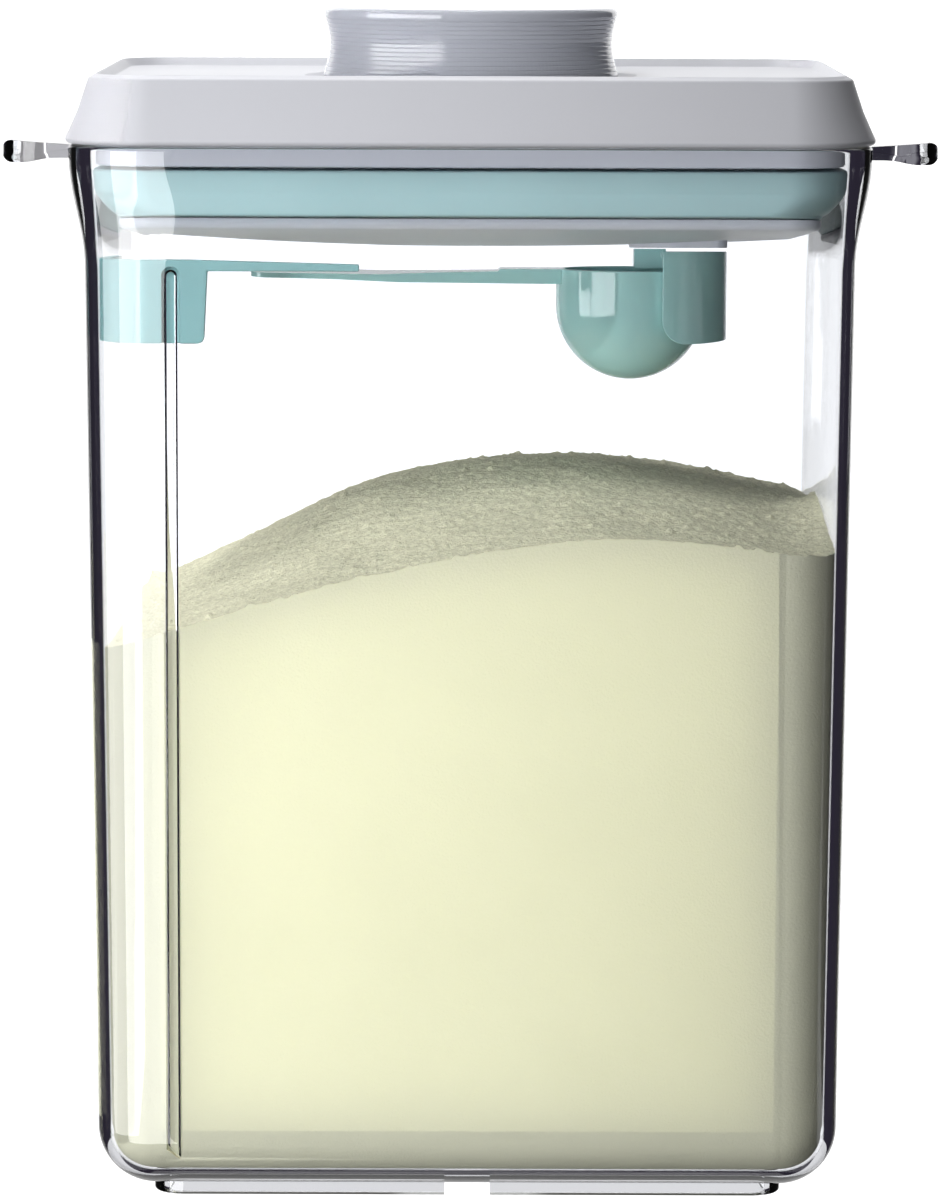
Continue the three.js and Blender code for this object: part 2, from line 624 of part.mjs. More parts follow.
// Leveller: an L-shaped strip on the front wall, hung on the rib by a groove, bent round the left corner
function leveller() {
  const bendR = innerRadius(LEVELLER_BOTTOM_Z) - FIT_GAP;
  const inR = bendR - LEVELLER_THICK;
  const outline = roundedRectangle(CORNER_X + bendR, CORNER_Y + bendR, bendR);
  outline.holes.push(roundedRectangle(CORNER_X + inR, CORNER_Y + inR, inR));
  const strip = upright(outline, LEVELLER_BOTTOM_Z, LEVELLER_TOP_Z);
  const farX = -CORNER_X - bendR - OVERCUT;
  const farY = -CORNER_Y - bendR - OVERCUT;
  const footX = LEVELLER_BLOCK_FOOT_X;
  const front = new THREE.Shape();
  front.moveTo(farX, LEVELLER_BOTTOM_Z);
  front.lineTo(footX - LEVELLER_ROUND, LEVELLER_BOTTOM_Z);
  front.quadraticCurveTo(footX, LEVELLER_BOTTOM_Z, footX, LEVELLER_BOTTOM_Z + LEVELLER_ROUND);
  front.lineTo(LEVELLER_BLOCK_X, LEVELLER_BAR_Z);
  front.lineTo(LEVELLER_END_X, LEVELLER_BAR_Z);
  front.lineTo(LEVELLER_END_X, LEVELLER_BAR_TOP_Z);
  front.lineTo(LEVELLER_SLOPE_X, LEVELLER_TOP_Z);
  front.lineTo(farX, LEVELLER_TOP_Z);
  const face = frontToBack(front, farY, LEVELLER_RETURN_Y);
  const grooveMargin = (GROOVE_WIDE - RIB_WIDE) / 2;
  const grooveOutline = ribOutline(grooveMargin, LEVELLER_BOTTOM_Z - OVERCUT, 0);
  const grooveY = -CORNER_Y - IN_NECK_R + RIB_PROUD + FIT_GAP;
  return strip.intersect(face).subtract(frontToBack(grooveOutline, farY, grooveY));
}

const part = new THREE.Group();
part.add(node('canister', canister(), 0xdfe3ea, 0.08));
part.add(node('milk_powder', milkPowder(), 0xf1f0d6, 0.95));
part.add(node('lid_cover', lidCover(), 0xc6c8ce, 0.32));
part.add(node('button', pushButton(), 0xb9bcc6, 0.35));
part.add(node('lid_plug', lidPlug(), 0xb4b7c0, 0.35));
part.add(node('seal_ring', sealRing(), 0x9fc9cc, 0.45));
part.add(node('scoop', scoop(), 0x97c6c4, 0.3));
part.add(node('scoop_clip', scoopClip(), 0x8fbfc0, 0.3));
part.add(node('leveller', leveller(), 0x93c4c6, 0.3));

export default part;
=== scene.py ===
"""Clear milk powder container with a push-button lid: every piece modelled, finished, lit and framed.

Pieces are modelled in millimetres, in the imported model's own frame, and become metres as they are placed.
"""

import math

import bmesh
import bpy
from mathutils import Matrix, Vector, noise
from mathutils.geometry import interpolate_bezier


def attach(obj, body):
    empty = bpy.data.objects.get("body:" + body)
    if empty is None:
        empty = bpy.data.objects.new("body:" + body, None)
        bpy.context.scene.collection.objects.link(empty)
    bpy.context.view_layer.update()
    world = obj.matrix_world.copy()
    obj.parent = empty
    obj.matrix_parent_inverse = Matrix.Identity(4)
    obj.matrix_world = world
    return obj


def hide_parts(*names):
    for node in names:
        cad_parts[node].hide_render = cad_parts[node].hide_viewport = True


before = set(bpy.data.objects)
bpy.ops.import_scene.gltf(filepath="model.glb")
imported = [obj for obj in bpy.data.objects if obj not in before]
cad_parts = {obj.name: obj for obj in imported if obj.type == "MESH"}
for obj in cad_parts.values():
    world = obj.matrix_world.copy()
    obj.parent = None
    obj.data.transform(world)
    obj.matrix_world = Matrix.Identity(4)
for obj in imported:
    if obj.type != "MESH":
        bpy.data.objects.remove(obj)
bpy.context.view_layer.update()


# The canister
# One clear box, injection moulded in SAN: drafted walls 2.4 mm thick, a neck that flares to the rim, and at the
# rim two handles. A guide rib inside the front wall and two low foot rails are moulded with it.

MM = 0.001
CORNER_X = 61.3
CORNER_Y = 40.1
BASE_Z = 2.8
FLOOR_Z = 5.4
NECK_Z = 184.0
RIM_Z = 207.7
RIM_ROUND = 0.7
FILLET_OUT = 11.5
FILLET_IN = 8.0
OUT_BOTTOM_R = 11.7
OUT_TOP_R = 13.45
NECK_FLARE = 3.05
IN_BOTTOM_R = 9.3
IN_NECK_R = 11.0
IN_RIM_R = 12.3
CORNER_STEPS = 20


def arc(centre_r, centre_z, radius, start, stop, steps):
    """Outline points (corner radius, height) round an arc, from one angle in degrees to another."""
    turns = [math.radians(start + (stop - start) * i / steps) for i in range(steps + 1)]
    return [(centre_r + radius * math.cos(t), centre_z + radius * math.sin(t)) for t in turns]


def chain(mould, points, closed=False):
    """Joins points with edges, into a loop if closed, and returns the edges."""
    row = [mould.verts.new(point) for point in points]
    pairs = list(zip(row, row[1:]))
    if closed:
        pairs.append((row[-1], row[0]))
    return [mould.edges.new(pair) for pair in pairs]


def run_out(mould, edges, shift):
    """Extrudes edges, moves the new ones by shift and returns them."""
    made = bmesh.ops.extrude_edge_only(mould, edges=edges)["geom"]
    bmesh.ops.translate(mould, verts=[v for v in made if isinstance(v, bmesh.types.BMVert)], vec=shift)
    return [e for e in made if isinstance(e, bmesh.types.BMEdge)]


def corner_lathe(outline, closed=False, centre=(CORNER_X, CORNER_Y), proud=0.0):
    """Runs an outline along half a side, turns it round one corner, runs it along half the front and mirrors it.

    The flats stand proud of the corners by that much.
    """
    mould = bmesh.new()
    shy = 1.5 if proud else 0.0
    points = [(centre[0] + radius + proud, 0, height) for radius, height in outline]
    edges = run_out(mould, chain(mould, points, closed), (0, centre[1] - shy, 0))
    if proud:
        edges = run_out(mould, edges, (-proud, shy, 0))
    turned = bmesh.ops.spin(
        mould,
        geom=edges + list({v for e in edges for v in e.verts}),
        cent=(*centre, 0),
        axis=(0, 0, 1),
        angle=math.pi / 2,
        steps=CORNER_STEPS,
    )["geom_last"]
    edges = [e for e in turned if isinstance(e, bmesh.types.BMEdge)]
    if proud:
        edges = run_out(mould, edges, (-shy, proud, 0))
    run_out(mould, edges, (shy - centre[0], 0, 0))
    for axis in "XY":
        bmesh.ops.mirror(mould, geom=mould.verts[:] + mould.edges[:] + mould.faces[:], axis=axis, merge_dist=0.001)
    bmesh.ops.remove_doubles(mould, verts=mould.verts, dist=0.0005)
    bmesh.ops.holes_fill(mould, edges=[e for e in mould.edges if e.is_boundary], sides=0)
    bmesh.ops.recalc_face_normals(mould, faces=mould.faces)
    return mould


def slab(outline, direction):
    """A closed outline made a face and extruded in one direction."""
    mould = bmesh.new()
    face = bmesh.ops.contextual_create(mould, geom=chain(mould, outline, closed=True))["faces"]
    top = bmesh.ops.extrude_face_region(mould, geom=face)["geom"]
    bmesh.ops.translate(mould, verts=[v for v in top if isinstance(v, bmesh.types.BMVert)], vec=direction)
    bmesh.ops.recalc_face_normals(mould, faces=mould.faces)
    return mould


def block(view, front_y, deep):
    """A front view of (x, z) points made a block that starts at front_y and is that deep."""
    return slab([(x, front_y, z) for x, z in view], (0, deep, 0))


def rounded_plan(half_x, half_y, radius, height, steps=10):
    """Points round a rectangle with rounded corners, level at one height."""
    points = []
    for quarter, (sign_x, sign_y) in enumerate(((1, 1), (-1, 1), (-1, -1), (1, -1))):
        for i in range(steps + 1):
            turn = math.radians(90 * (quarter + i / steps))
            x = sign_x * (half_x - radius) + radius * math.cos(turn)
            y = sign_y * (half_y - radius) + radius * math.sin(turn)
            points.append((x, y, height))
    return points


def combine(mould, other, operation):
    """Joins, cuts or trims one closed shape with another, and returns the outcome."""
    pair = []
    for shape in (mould, other):
        mesh = bpy.data.meshes.new("shape")
        shape.to_mesh(mesh)
        shape.free()
        pair.append(bpy.data.objects.new("shape", mesh))
        bpy.context.scene.collection.objects.link(pair[-1])
    boolean = pair[0].modifiers.new("combine", "BOOLEAN")
    boolean.operation = operation
    boolean.solver = "EXACT"
    boolean.object = pair[1]
    joined = bmesh.new()
    joined.from_object(pair[0], bpy.context.evaluated_depsgraph_get())
    for shape in pair:
        mesh = shape.data
        bpy.data.objects.remove(shape)
        bpy.data.meshes.remove(mesh)
    bmesh.ops.remove_doubles(joined, verts=joined.verts, dist=0.002)
    return joined


def round_off(mould, edges, width, segments):
    """Rounds edges."""
    bmesh.ops.bevel(
        mould,
        geom=edges,
        offset=width,
        offset_type="OFFSET",
        affect="EDGES",
        segments=segments,
        profile=0.5,
        material=-1,
        clamp_overlap=True,
    )


def soften(mould, width, least=35, segments=2):
    """Rounds every edge that turns by more than the least angle in degrees, as a mould's edges are."""
    round_off(mould, [e for e in mould.edges if e.calc_face_angle(0) > math.radians(least)], width, segments)
    return mould


def place(mould, name, finish, sharp=40):
    """Makes a shape in millimetres the named piece in metres, smooth but for edges that turn sharply."""
    bmesh.ops.scale(mould, verts=mould.verts, vec=(MM, MM, MM))
    mesh = bpy.data.meshes.new(name)
    mould.to_mesh(mesh)
    mould.free()
    mesh.shade_smooth()
    mesh.set_sharp_from_angle(angle=math.radians(sharp))
    mesh.materials.append(finish)
    piece = bpy.data.objects.new(name, mesh)
    bpy.context.scene.collection.objects.link(piece)
    weighted = piece.modifiers.new("flat faces stay flat", "WEIGHTED_NORMAL")
    weighted.keep_sharp = True
    return piece


def wall_radius(height):
    """Inner corner radius of the drafted wall at a height."""
    return IN_BOTTOM_R + (IN_NECK_R - IN_BOTTOM_R) * (height - FLOOR_Z - FILLET_IN) / (NECK_Z - FLOOR_Z - FILLET_IN)


def shell():
    """Outer wall from the base up to the rim, then the inner wall down to the floor."""
    neck_steps = 14
    neck = []
    for i in range(1, neck_steps + 1):
        climb = i / neck_steps
        flare = NECK_FLARE * (0.5 - 0.5 * math.cos(math.pi * climb))
        neck.append((OUT_TOP_R + flare, NECK_Z + climb * (RIM_Z - 2 - NECK_Z)))
    outline = arc(OUT_BOTTOM_R - FILLET_OUT, BASE_Z + FILLET_OUT, FILLET_OUT, -90, 0, 18)
    outline += [(OUT_TOP_R, NECK_Z)] + neck
    outline += arc(OUT_TOP_R + NECK_FLARE - RIM_ROUND, RIM_Z - RIM_ROUND, RIM_ROUND, 0, 90, 4)
    outline += arc(IN_RIM_R + RIM_ROUND, RIM_Z - RIM_ROUND, RIM_ROUND, 90, 180, 4)
    outline += [(IN_NECK_R, NECK_Z)]
    outline += arc(IN_BOTTOM_R - FILLET_IN, FLOOR_Z + FILLET_IN, FILLET_IN, 0, -90, 14)
    return corner_lathe(outline)


def foot_rails():
    """A low ring under the base, open for 9 mm at the middle of the front and the back."""
    half_x, half_y, radius, wide, edge = 62.2, 41.0, 6.0, 3.0, 0.6
    gap_half, past_y = 4.5, 60
    top_z = BASE_Z + 0.6
    outline = [(radius - wide, top_z)]
    outline += arc(radius - wide + edge, edge, edge, 180, 270, 3)
    outline += arc(radius - edge, edge, edge, 270, 360, 3)
    outline += [(radius, top_z)]
    ring = corner_lathe(outline, closed=True, centre=(half_x - radius, half_y - radius))
    corners = [(-gap_half, -past_y), (gap_half, -past_y), (gap_half, past_y), (-gap_half, past_y)]
    notch = slab([(x, y, -1) for x, y in corners], (0, 0, BASE_Z + 1))
    return combine(ring, notch, "DIFFERENCE")


def handle(side):
    """Thin at the root with a thick bead along its tip, and rounded in plan."""
    tip, deep, root, thin_to, full = 92.5, 25.0, 74.8, 80.8, 89.5
    root_low, root_top, bead_low, bead_round = 204.2, 206.65, 203.2, 2.2
    corner_r, edge_round = 8, 0.45
    bend = (thin_to + full) / 2
    under = ((thin_to, root_low, 0), (bend, root_low, 0), (bend, bead_low, 0), (full, bead_low, 0))
    section = [(root, root_low)] + [(p[0], p[1]) for p in interpolate_bezier(*under, 12)]
    section += arc(tip - bead_round, bead_low + bead_round, bead_round, -90, 90, 14) + [(root, root_top)]
    bar = block([(side * x, z) for x, z in section], -deep, 2 * deep)
    plan = slab(rounded_plan(tip, deep, corner_r, bead_low - 1, steps=12), (0, 0, 8))
    return soften(combine(bar, plan, "INTERSECT"), edge_round, least=45)


RIB_X = -57.45
RIB_HALF = 1.25
RIB_PROUD = 1.6
RIB_TOP_Z = 184.3
RIB_END_Z = 10.0
RIB_END_SLANT = 2.4


def rib(margin, end_z):
    """A half-round bar on the front wall that leans with the wall's draft; a margin makes a cutter round it."""
    half, proud = RIB_HALF + margin, RIB_PROUD + margin
    outline = [(RIB_X - half, end_z + RIB_END_SLANT), (RIB_X + half, end_z)]
    outline += [(RIB_X + r, z) for r, z in arc(0, RIB_TOP_Z - RIB_HALF, half, 0, 180, 16)]
    bar = block(outline, 0, proud + 1)
    end = [e for e in bar.edges if all(v.co.z <= end_z + RIB_END_SLANT for v in e.verts)]
    proud_edges = [e for e in bar.edges if all(v.co.y > proud for v in e.verts) and e not in end]
    round_off(bar, proud_edges, 0.9 * RIB_HALF + margin, 6)
    lean = math.atan((IN_NECK_R - IN_BOTTOM_R) / (NECK_Z - FLOOR_Z - FILLET_IN))
    bmesh.ops.rotate(bar, verts=bar.verts, cent=(0, proud, NECK_Z), matrix=Matrix.Rotation(lean, 3, "X"))
    bmesh.ops.translate(bar, verts=bar.verts, vec=(0, -CORNER_Y - IN_NECK_R - 1, 0))
    return bar


def linear(code, alpha=1.0):
    """An sRGB colour code as linear red, green, blue and alpha."""
    parts = [int(code[i : i + 2], 16) / 255 for i in (1, 3, 5)]
    return (*[p / 12.92 if p <= 0.04045 else ((p + 0.055) / 1.055) ** 2.4 for p in parts], alpha)


def add(tree, kind, inputs=(), **settings):
    """Adds a node with its settings; an input gets a value, or a link where it is given another node's output."""
    node = tree.nodes.new(kind)
    for name, value in settings.items():
        setattr(node, name, value)
    for name, value in dict(inputs).items():
        if isinstance(value, bpy.types.NodeSocket):
            tree.links.new(value, node.inputs[name])
        else:
            node.inputs[name].default_value = value
    return node


def new_finish(name):
    """An empty node material and its tree."""
    finish = bpy.data.materials.new(name)
    finish.use_nodes = True
    finish.node_tree.nodes.clear()
    return finish, finish.node_tree


# SAN, clear and polished: IOR 1.57, so that its corners turn dark where they look past the white ground. The long
# flow of the moulding bends what shows through it very slightly. Light passes it without a shadow.
clear_san, tree = new_finish("clear_moulded_san")
place_in = add(tree, "ShaderNodeTexCoord").outputs["Object"]
flow = add(tree, "ShaderNodeTexNoise", {"Vector": place_in, "Scale": 22.0, "Detail": 1.0})
ripple = add(tree, "ShaderNodeBump", {"Height": flow.outputs["Fac"], "Strength": 0.06, "Distance": 0.0004})
body = add(
    tree,
    "ShaderNodeBsdfPrincipled",
    {
        "Base Color": linear("#fcfdff"),
        "Roughness": 0.0,
        "IOR": 1.57,
        "Transmission Weight": 1.0,
        "Normal": ripple.outputs["Normal"],
    },
)
unshadowed = add(tree, "ShaderNodeBsdfTransparent", {"Color": linear("#ffffff")})
is_shadow = add(tree, "ShaderNodeLightPath").outputs["Is Shadow Ray"]
mixed = add(tree, "ShaderNodeMixShader", {0: is_shadow, 1: body.outputs[0], 2: unshadowed.outputs[0]})
add(tree, "ShaderNodeOutputMaterial", {"Surface": mixed.outputs[0]})

box = shell()
for moulded_on in (foot_rails(), handle(1), handle(-1), rib(0, RIB_END_Z)):
    box = combine(box, moulded_on, "UNION")
canister = place(box, "canister_clear_box", clear_san, sharp=30)
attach(canister, "canister")
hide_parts("canister")


# The milk powder
# Loose whole-milk powder, pale cream, poured in and scooped from, so it lies low at the left and humps right of the
# middle. It packs smooth against the walls; on top it is rough, with small clumps, pits and slips.

POWDER_LEFT_Z = 109.8
POWDER_PEAK_Z = 132.3
POWDER_RIGHT_Z = 127.7
POWDER_PEAK_X = 27.0
POWDER_CREST_Y = 22.0
FALL_BEHIND = 0.4
HUMP_X = -14.0
HUMP_HIGH = 10.6
HUMP_LEFT_WIDE = 36.0
HUMP_RIGHT_WIDE = 62.0
HUMP_RIGHT_FOOT = 3.0
BANK_X = 58.0
BANK_Y = -12.0
BANK_LONG = 13.5
BANK_WIDE = 26.0
BANK_HIGH = 5.0
LUMP_COUNT = 46
SLIP_LONG = 11.0
SLIP_WIDE = 7.0
SLIP_HIGH = 0.3
GRAIN_WIDE = 1.8
GRAIN_HIGH = 0.26
CLUMP_WIDE = 1.9
CLUMP_FROM = 0.32
CLUMP_HIGH = 1.5
WALL_GAP = 0.3
REACH = 0.05


def seeded_draws(state):
    """Numbers from 0 to 1 in an order that never changes."""
    while True:
        state = (state * 1664525 + 1013904223) % 4294967296
        yield state / 4294967296


draws = seeded_draws(17)
lumps = []
for _ in range(LUMP_COUNT):
    at_x = (next(draws) * 2 - 1) * (CORNER_X + 6)
    at_y = (next(draws) * 2 - 1) * (CORNER_Y + 8)
    lumps.append((at_x, at_y, 3.5 + 5 * next(draws), 1.5 * (next(draws) - 0.42)))


def powder_level(x, y):
    """Height of the powder: the broad heap, the bank at its right end, its lumps, then slips, grains and clumps."""
    span = CORNER_X + IN_BOTTOM_R
    left = max(POWDER_PEAK_X - x, 0) / (POWDER_PEAK_X + span)
    right = max(x - POWDER_PEAK_X, 0) / (span - POWDER_PEAK_X)
    front_y = -CORNER_Y - IN_NECK_R
    climb = min(max((y - front_y) / (POWDER_CREST_Y - front_y), 0), 1)
    fall = max(y - POWDER_CREST_Y, 0) / (-front_y - POWDER_CREST_Y)
    across = math.sin(math.pi / 2 * climb) - FALL_BEHIND * fall * fall
    foot, wide = (0.0, HUMP_LEFT_WIDE) if x < HUMP_X else (HUMP_RIGHT_FOOT, HUMP_RIGHT_WIDE)
    hump = foot + (HUMP_HIGH - foot) * math.exp(-(((x - HUMP_X) / wide) ** 2))
    bank = BANK_HIGH * (max(x - BANK_X, 0) / BANK_LONG) ** 2 * math.exp(-(((y - BANK_Y) / BANK_WIDE) ** 2))
    z = POWDER_PEAK_Z - (POWDER_PEAK_Z - POWDER_LEFT_Z) * left**1.5
    z += across * hump - (POWDER_PEAK_Z - POWDER_RIGHT_Z) * right**2 + bank
    for lump_x, lump_y, wide, high in lumps:
        z += high * math.exp(-((x - lump_x) ** 2 + (y - lump_y) ** 2) / wide**2)
    slips = noise.fractal(Vector((x / SLIP_LONG, y / SLIP_WIDE, 3.1)), 0.9, 2.1, 3)
    grains = noise.fractal(Vector((x / GRAIN_WIDE, y / GRAIN_WIDE, 8.4)), 0.5, 2.0, 2)
    clumps = max(noise.noise(Vector((x / CLUMP_WIDE, y / CLUMP_WIDE, 21.0))) - CLUMP_FROM, 0)
    return z + SLIP_HIGH * slips + GRAIN_HIGH * grains + CLUMP_HIGH * clumps


POWDER_TOP_STEP = 0.62

heap = bmesh.new()
wide_x, wide_y = CORNER_X + IN_RIM_R, CORNER_Y + IN_RIM_R
bmesh.ops.create_grid(
    heap,
    x_segments=round(2 * wide_x / POWDER_TOP_STEP),
    y_segments=round(2 * wide_y / POWDER_TOP_STEP),
    size=1.0,
)
bmesh.ops.scale(heap, verts=heap.verts, vec=(wide_x, wide_y, 1))
for vert in heap.verts:
    vert.co.z = powder_level(vert.co.x, vert.co.y)
skirt = bmesh.ops.extrude_edge_only(heap, edges=[e for e in heap.edges if e.is_boundary])["geom"]
for vert in [v for v in skirt if isinstance(v, bmesh.types.BMVert)]:
    vert.co.z = 0
bmesh.ops.holes_fill(heap, edges=[e for e in heap.edges if e.is_boundary], sides=0)
bmesh.ops.recalc_face_normals(heap, faces=heap.faces)

# Round its foot the powder stands a little clear of the box, whose own bright and dark lines show under it.
foot_gap = 2 * WALL_GAP + REACH
lining = arc(IN_BOTTOM_R - FILLET_IN - foot_gap, FLOOR_Z + FILLET_IN + WALL_GAP, FILLET_IN, -90, 0, 14)
lining += [(wall_radius(z) - WALL_GAP, z) for z in (FLOOR_Z + FILLET_IN + 2, NECK_Z)]
inside = corner_lathe(lining, proud=WALL_GAP + REACH)
powder = combine(heap, inside, "INTERSECT")
powder = combine(powder, rib(WALL_GAP, RIB_END_Z - 1), "DIFFERENCE")

GRAINS_PER_METRE = 1900.0
CLODS_PER_METRE = 1100.0
PATCHES_PER_METRE = 45.0

# Spray-dried milk powder: matt fat-and-lactose grains of about 0.2 mm, cream and quite without gloss. Its grain is
# drawn more than twice as coarse as it is, to show at all, with clods of about 0.9 mm on the open top. The open top
# has painted light: its tone is lighter than the sides' to make up for light it lacks, and painted shade darkens
# the pits of its clods.
powder_finish, tree = new_finish("spray_dried_milk_powder")
place_in = add(tree, "ShaderNodeTexCoord").outputs["Object"]
grain = add(
    tree,
    "ShaderNodeTexNoise",
    {"Vector": place_in, "Scale": GRAINS_PER_METRE, "Detail": 2.0, "Roughness": 0.6},
)
clod = add(
    tree,
    "ShaderNodeTexNoise",
    {"Vector": place_in, "Scale": CLODS_PER_METRE, "Detail": 3.0, "Roughness": 0.75},
)
patch = add(tree, "ShaderNodeTexNoise", {"Vector": place_in, "Scale": PATCHES_PER_METRE, "Detail": 2.0})
upward = add(tree, "ShaderNodeSeparateXYZ", {0: add(tree, "ShaderNodeNewGeometry").outputs["Normal"]})
# How far a face turns upward: it masks the clods' bump and the painted light on the top
open_top_painted_lighter = add(
    tree,
    "ShaderNodeMapRange",
    {0: upward.outputs["Z"], 1: 0.25, 2: 0.6},
    interpolation_type="SMOOTHSTEP",
)
side_tone = add(tree, "ShaderNodeValToRGB", {"Fac": patch.outputs["Fac"]})
side_tone.color_ramp.elements[0].color = linear("#d0d0ba")
side_tone.color_ramp.elements[1].color = linear("#d5d5bf")
# Painted light and shade: the top is lighter than the sides, standing in for light, and darker in the clods' pits
top_tone_painted_light_and_pit_shade = add(tree, "ShaderNodeValToRGB", {"Fac": clod.outputs["Fac"]})
top_tone_painted_light_and_pit_shade.color_ramp.elements[0].position = 0.32
top_tone_painted_light_and_pit_shade.color_ramp.elements[0].color = linear("#d7d3b5")
top_tone_painted_light_and_pit_shade.color_ramp.elements[1].position = 0.62
top_tone_painted_light_and_pit_shade.color_ramp.elements[1].color = linear("#faf7d9")
tone = add(
    tree,
    "ShaderNodeMix",
    {0: open_top_painted_lighter.outputs[0], 6: side_tone.outputs["Color"], 7: top_tone_painted_light_and_pit_shade.outputs["Color"]},
    data_type="RGBA",
)
coarse = add(tree, "ShaderNodeMath", {0: clod.outputs["Fac"], 1: open_top_painted_lighter.outputs[0]}, operation="MULTIPLY")
rough_top = add(tree, "ShaderNodeBump", {"Height": coarse.outputs[0], "Strength": 0.6, "Distance": 0.0008})
grained = add(
    tree,
    "ShaderNodeBump",
    {"Height": grain.outputs["Fac"], "Strength": 0.35, "Distance": 0.0003, "Normal": rough_top.outputs["Normal"]},
)
body = add(
    tree,
    "ShaderNodeBsdfPrincipled",
    {
        "Base Color": tone.outputs[2],
        "Roughness": 0.9,
        "Specular IOR Level": 0.15,
        "Normal": grained.outputs["Normal"],
    },
)
add(tree, "ShaderNodeOutputMaterial", {"Surface": body.outputs[0]})

milk_powder = place(powder, "milk_powder_heap", powder_finish, sharp=50)
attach(milk_powder, "canister")
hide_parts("milk_powder")


# The leveller
# A mint polypropylene strip, moulded in one. It stands on the front wall, hung on the guide rib by a groove, and
# bends round the left corner; a full scoop is drawn under its thin bar.

LEVELLER_TOP_Z = 186.2
LEVELLER_BAR_Z = 183.95
LEVELLER_BAR_TOP_Z = 185.35
LEVELLER_BOTTOM_Z = 170.0
LEVELLER_THICK = 2.2
LEVELLER_BLOCK_X = -50.4
LEVELLER_END_X = -21.3
LEVELLER_SLOPE_X = -54.0
LEVELLER_RETURN_Y = -20.0
BLOCK_FOOT = ((0.65, 1.2), (0.95, 0.35), (1.9, 0), (1.9, -1))
GROOVE_HALF = 1.7
CLEAR_Y = -60.0


def moulded_mint(name, colour, roughness, mottle, gloss):
    """Mint plastic: satin, a little milky under its skin, with faint flow mottling of that size in metres.

    The gloss is the strength of its reflections, 0.5 where they follow the index of refraction alone.
    """
    finish, tree = new_finish(name)
    place_in = add(tree, "ShaderNodeTexCoord").outputs["Object"]
    flow = add(tree, "ShaderNodeTexNoise", {"Vector": place_in, "Scale": 1 / mottle, "Detail": 2.0})
    sheen = add(
        tree,
        "ShaderNodeMapRange",
        {0: flow.outputs["Fac"], 1: 0.3, 2: 0.7, 3: roughness - 0.03, 4: roughness + 0.03},
    )
    skin = add(tree, "ShaderNodeBump", {"Height": flow.outputs["Fac"], "Strength": 0.05, "Distance": 0.0002})
    tone = add(tree, "ShaderNodeHueSaturation", {"Color": linear(colour)})
    value = add(tree, "ShaderNodeMapRange", {0: flow.outputs["Fac"], 1: 0.3, 2: 0.7, 3: 0.985, 4: 1.015})
    tree.links.new(value.outputs[0], tone.inputs["Value"])
    body = add(
        tree,
        "ShaderNodeBsdfPrincipled",
        {
            "Base Color": tone.outputs["Color"],
            "Roughness": sheen.outputs[0],
            "IOR": 1.49,
            "Specular IOR Level": gloss,
            "Subsurface Weight": 0.12,
            "Subsurface Radius": (0.0011, 0.0016, 0.0016),
            "Subsurface Scale": 1.0,
            "Normal": skin.outputs["Normal"],
        },
    )
    add(tree, "ShaderNodeOutputMaterial", {"Surface": body.outputs[0]})
    return finish


bend_r = wall_radius(LEVELLER_BOTTOM_Z) - WALL_GAP
strip = bmesh.new()
section = [(bend_r - LEVELLER_THICK, LEVELLER_BOTTOM_Z), (bend_r, LEVELLER_BOTTOM_Z)]
section += [(bend_r, LEVELLER_TOP_Z), (bend_r - LEVELLER_THICK, LEVELLER_TOP_Z)]
edges = chain(strip, [(LEVELLER_END_X, -CORNER_Y - r, z) for r, z in section], closed=True)
edges = run_out(strip, edges, (-CORNER_X - LEVELLER_END_X, 0, 0))
turned = bmesh.ops.spin(
    strip,
    geom=edges + list({v for e in edges for v in e.verts}),
    cent=(-CORNER_X, -CORNER_Y, 0),
    axis=(0, 0, 1),
    angle=-math.pi / 2,
    steps=CORNER_STEPS,
)["geom_last"]
edges = [e for e in turned if isinstance(e, bmesh.types.BMEdge)]
run_out(strip, edges, (0, LEVELLER_RETURN_Y + CORNER_Y, 0))
bmesh.ops.remove_doubles(strip, verts=strip.verts, dist=0.0005)
bmesh.ops.holes_fill(strip, edges=[e for e in strip.edges if e.is_boundary], sides=0)
bmesh.ops.recalc_face_normals(strip, faces=strip.faces)

under_bar = [(LEVELLER_BLOCK_X, LEVELLER_BAR_Z)]
under_bar += [(LEVELLER_BLOCK_X - back, LEVELLER_BOTTOM_Z + over) for back, over in BLOCK_FOOT]
under_bar += [(LEVELLER_END_X + 1, LEVELLER_BOTTOM_Z - 1), (LEVELLER_END_X + 1, LEVELLER_BAR_Z)]
strip = combine(strip, block(under_bar, CLEAR_Y, 30), "DIFFERENCE")
over_bar = [(LEVELLER_SLOPE_X, LEVELLER_TOP_Z), (LEVELLER_SLOPE_X, LEVELLER_TOP_Z + 1)]
over_bar += [(LEVELLER_END_X + 1, LEVELLER_TOP_Z + 1), (LEVELLER_END_X + 1, LEVELLER_BAR_TOP_Z)]
over_bar += [(LEVELLER_END_X, LEVELLER_BAR_TOP_Z)]
strip = combine(strip, block(over_bar, CLEAR_Y, 30), "DIFFERENCE")
groove_view = [(RIB_X - GROOVE_HALF, LEVELLER_BOTTOM_Z - 1), (RIB_X + GROOVE_HALF, LEVELLER_BOTTOM_Z - 1)]
groove_view += [(RIB_X + r, z) for r, z in arc(0, RIB_TOP_Z - RIB_HALF, GROOVE_HALF, 0, 180, 16)]
groove_y = -CORNER_Y - IN_NECK_R + RIB_PROUD + WALL_GAP
strip = combine(strip, block(groove_view, CLEAR_Y, groove_y - CLEAR_Y), "DIFFERENCE")

mint_finish = moulded_mint("mint_moulded_polypropylene", "#93bdbf", 0.3, 0.012, 0.4)
leveller = place(soften(strip, 0.3), "leveller_strip", mint_finish)
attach(leveller, "canister")
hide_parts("leveller")


# The lid plug
# A grey ABS moulding that fills the rim, carries the seal round its core, and ends below it in a tray with a domed
# underside. A pad under the tray takes the scoop's clip, and a round well in it guides the button.

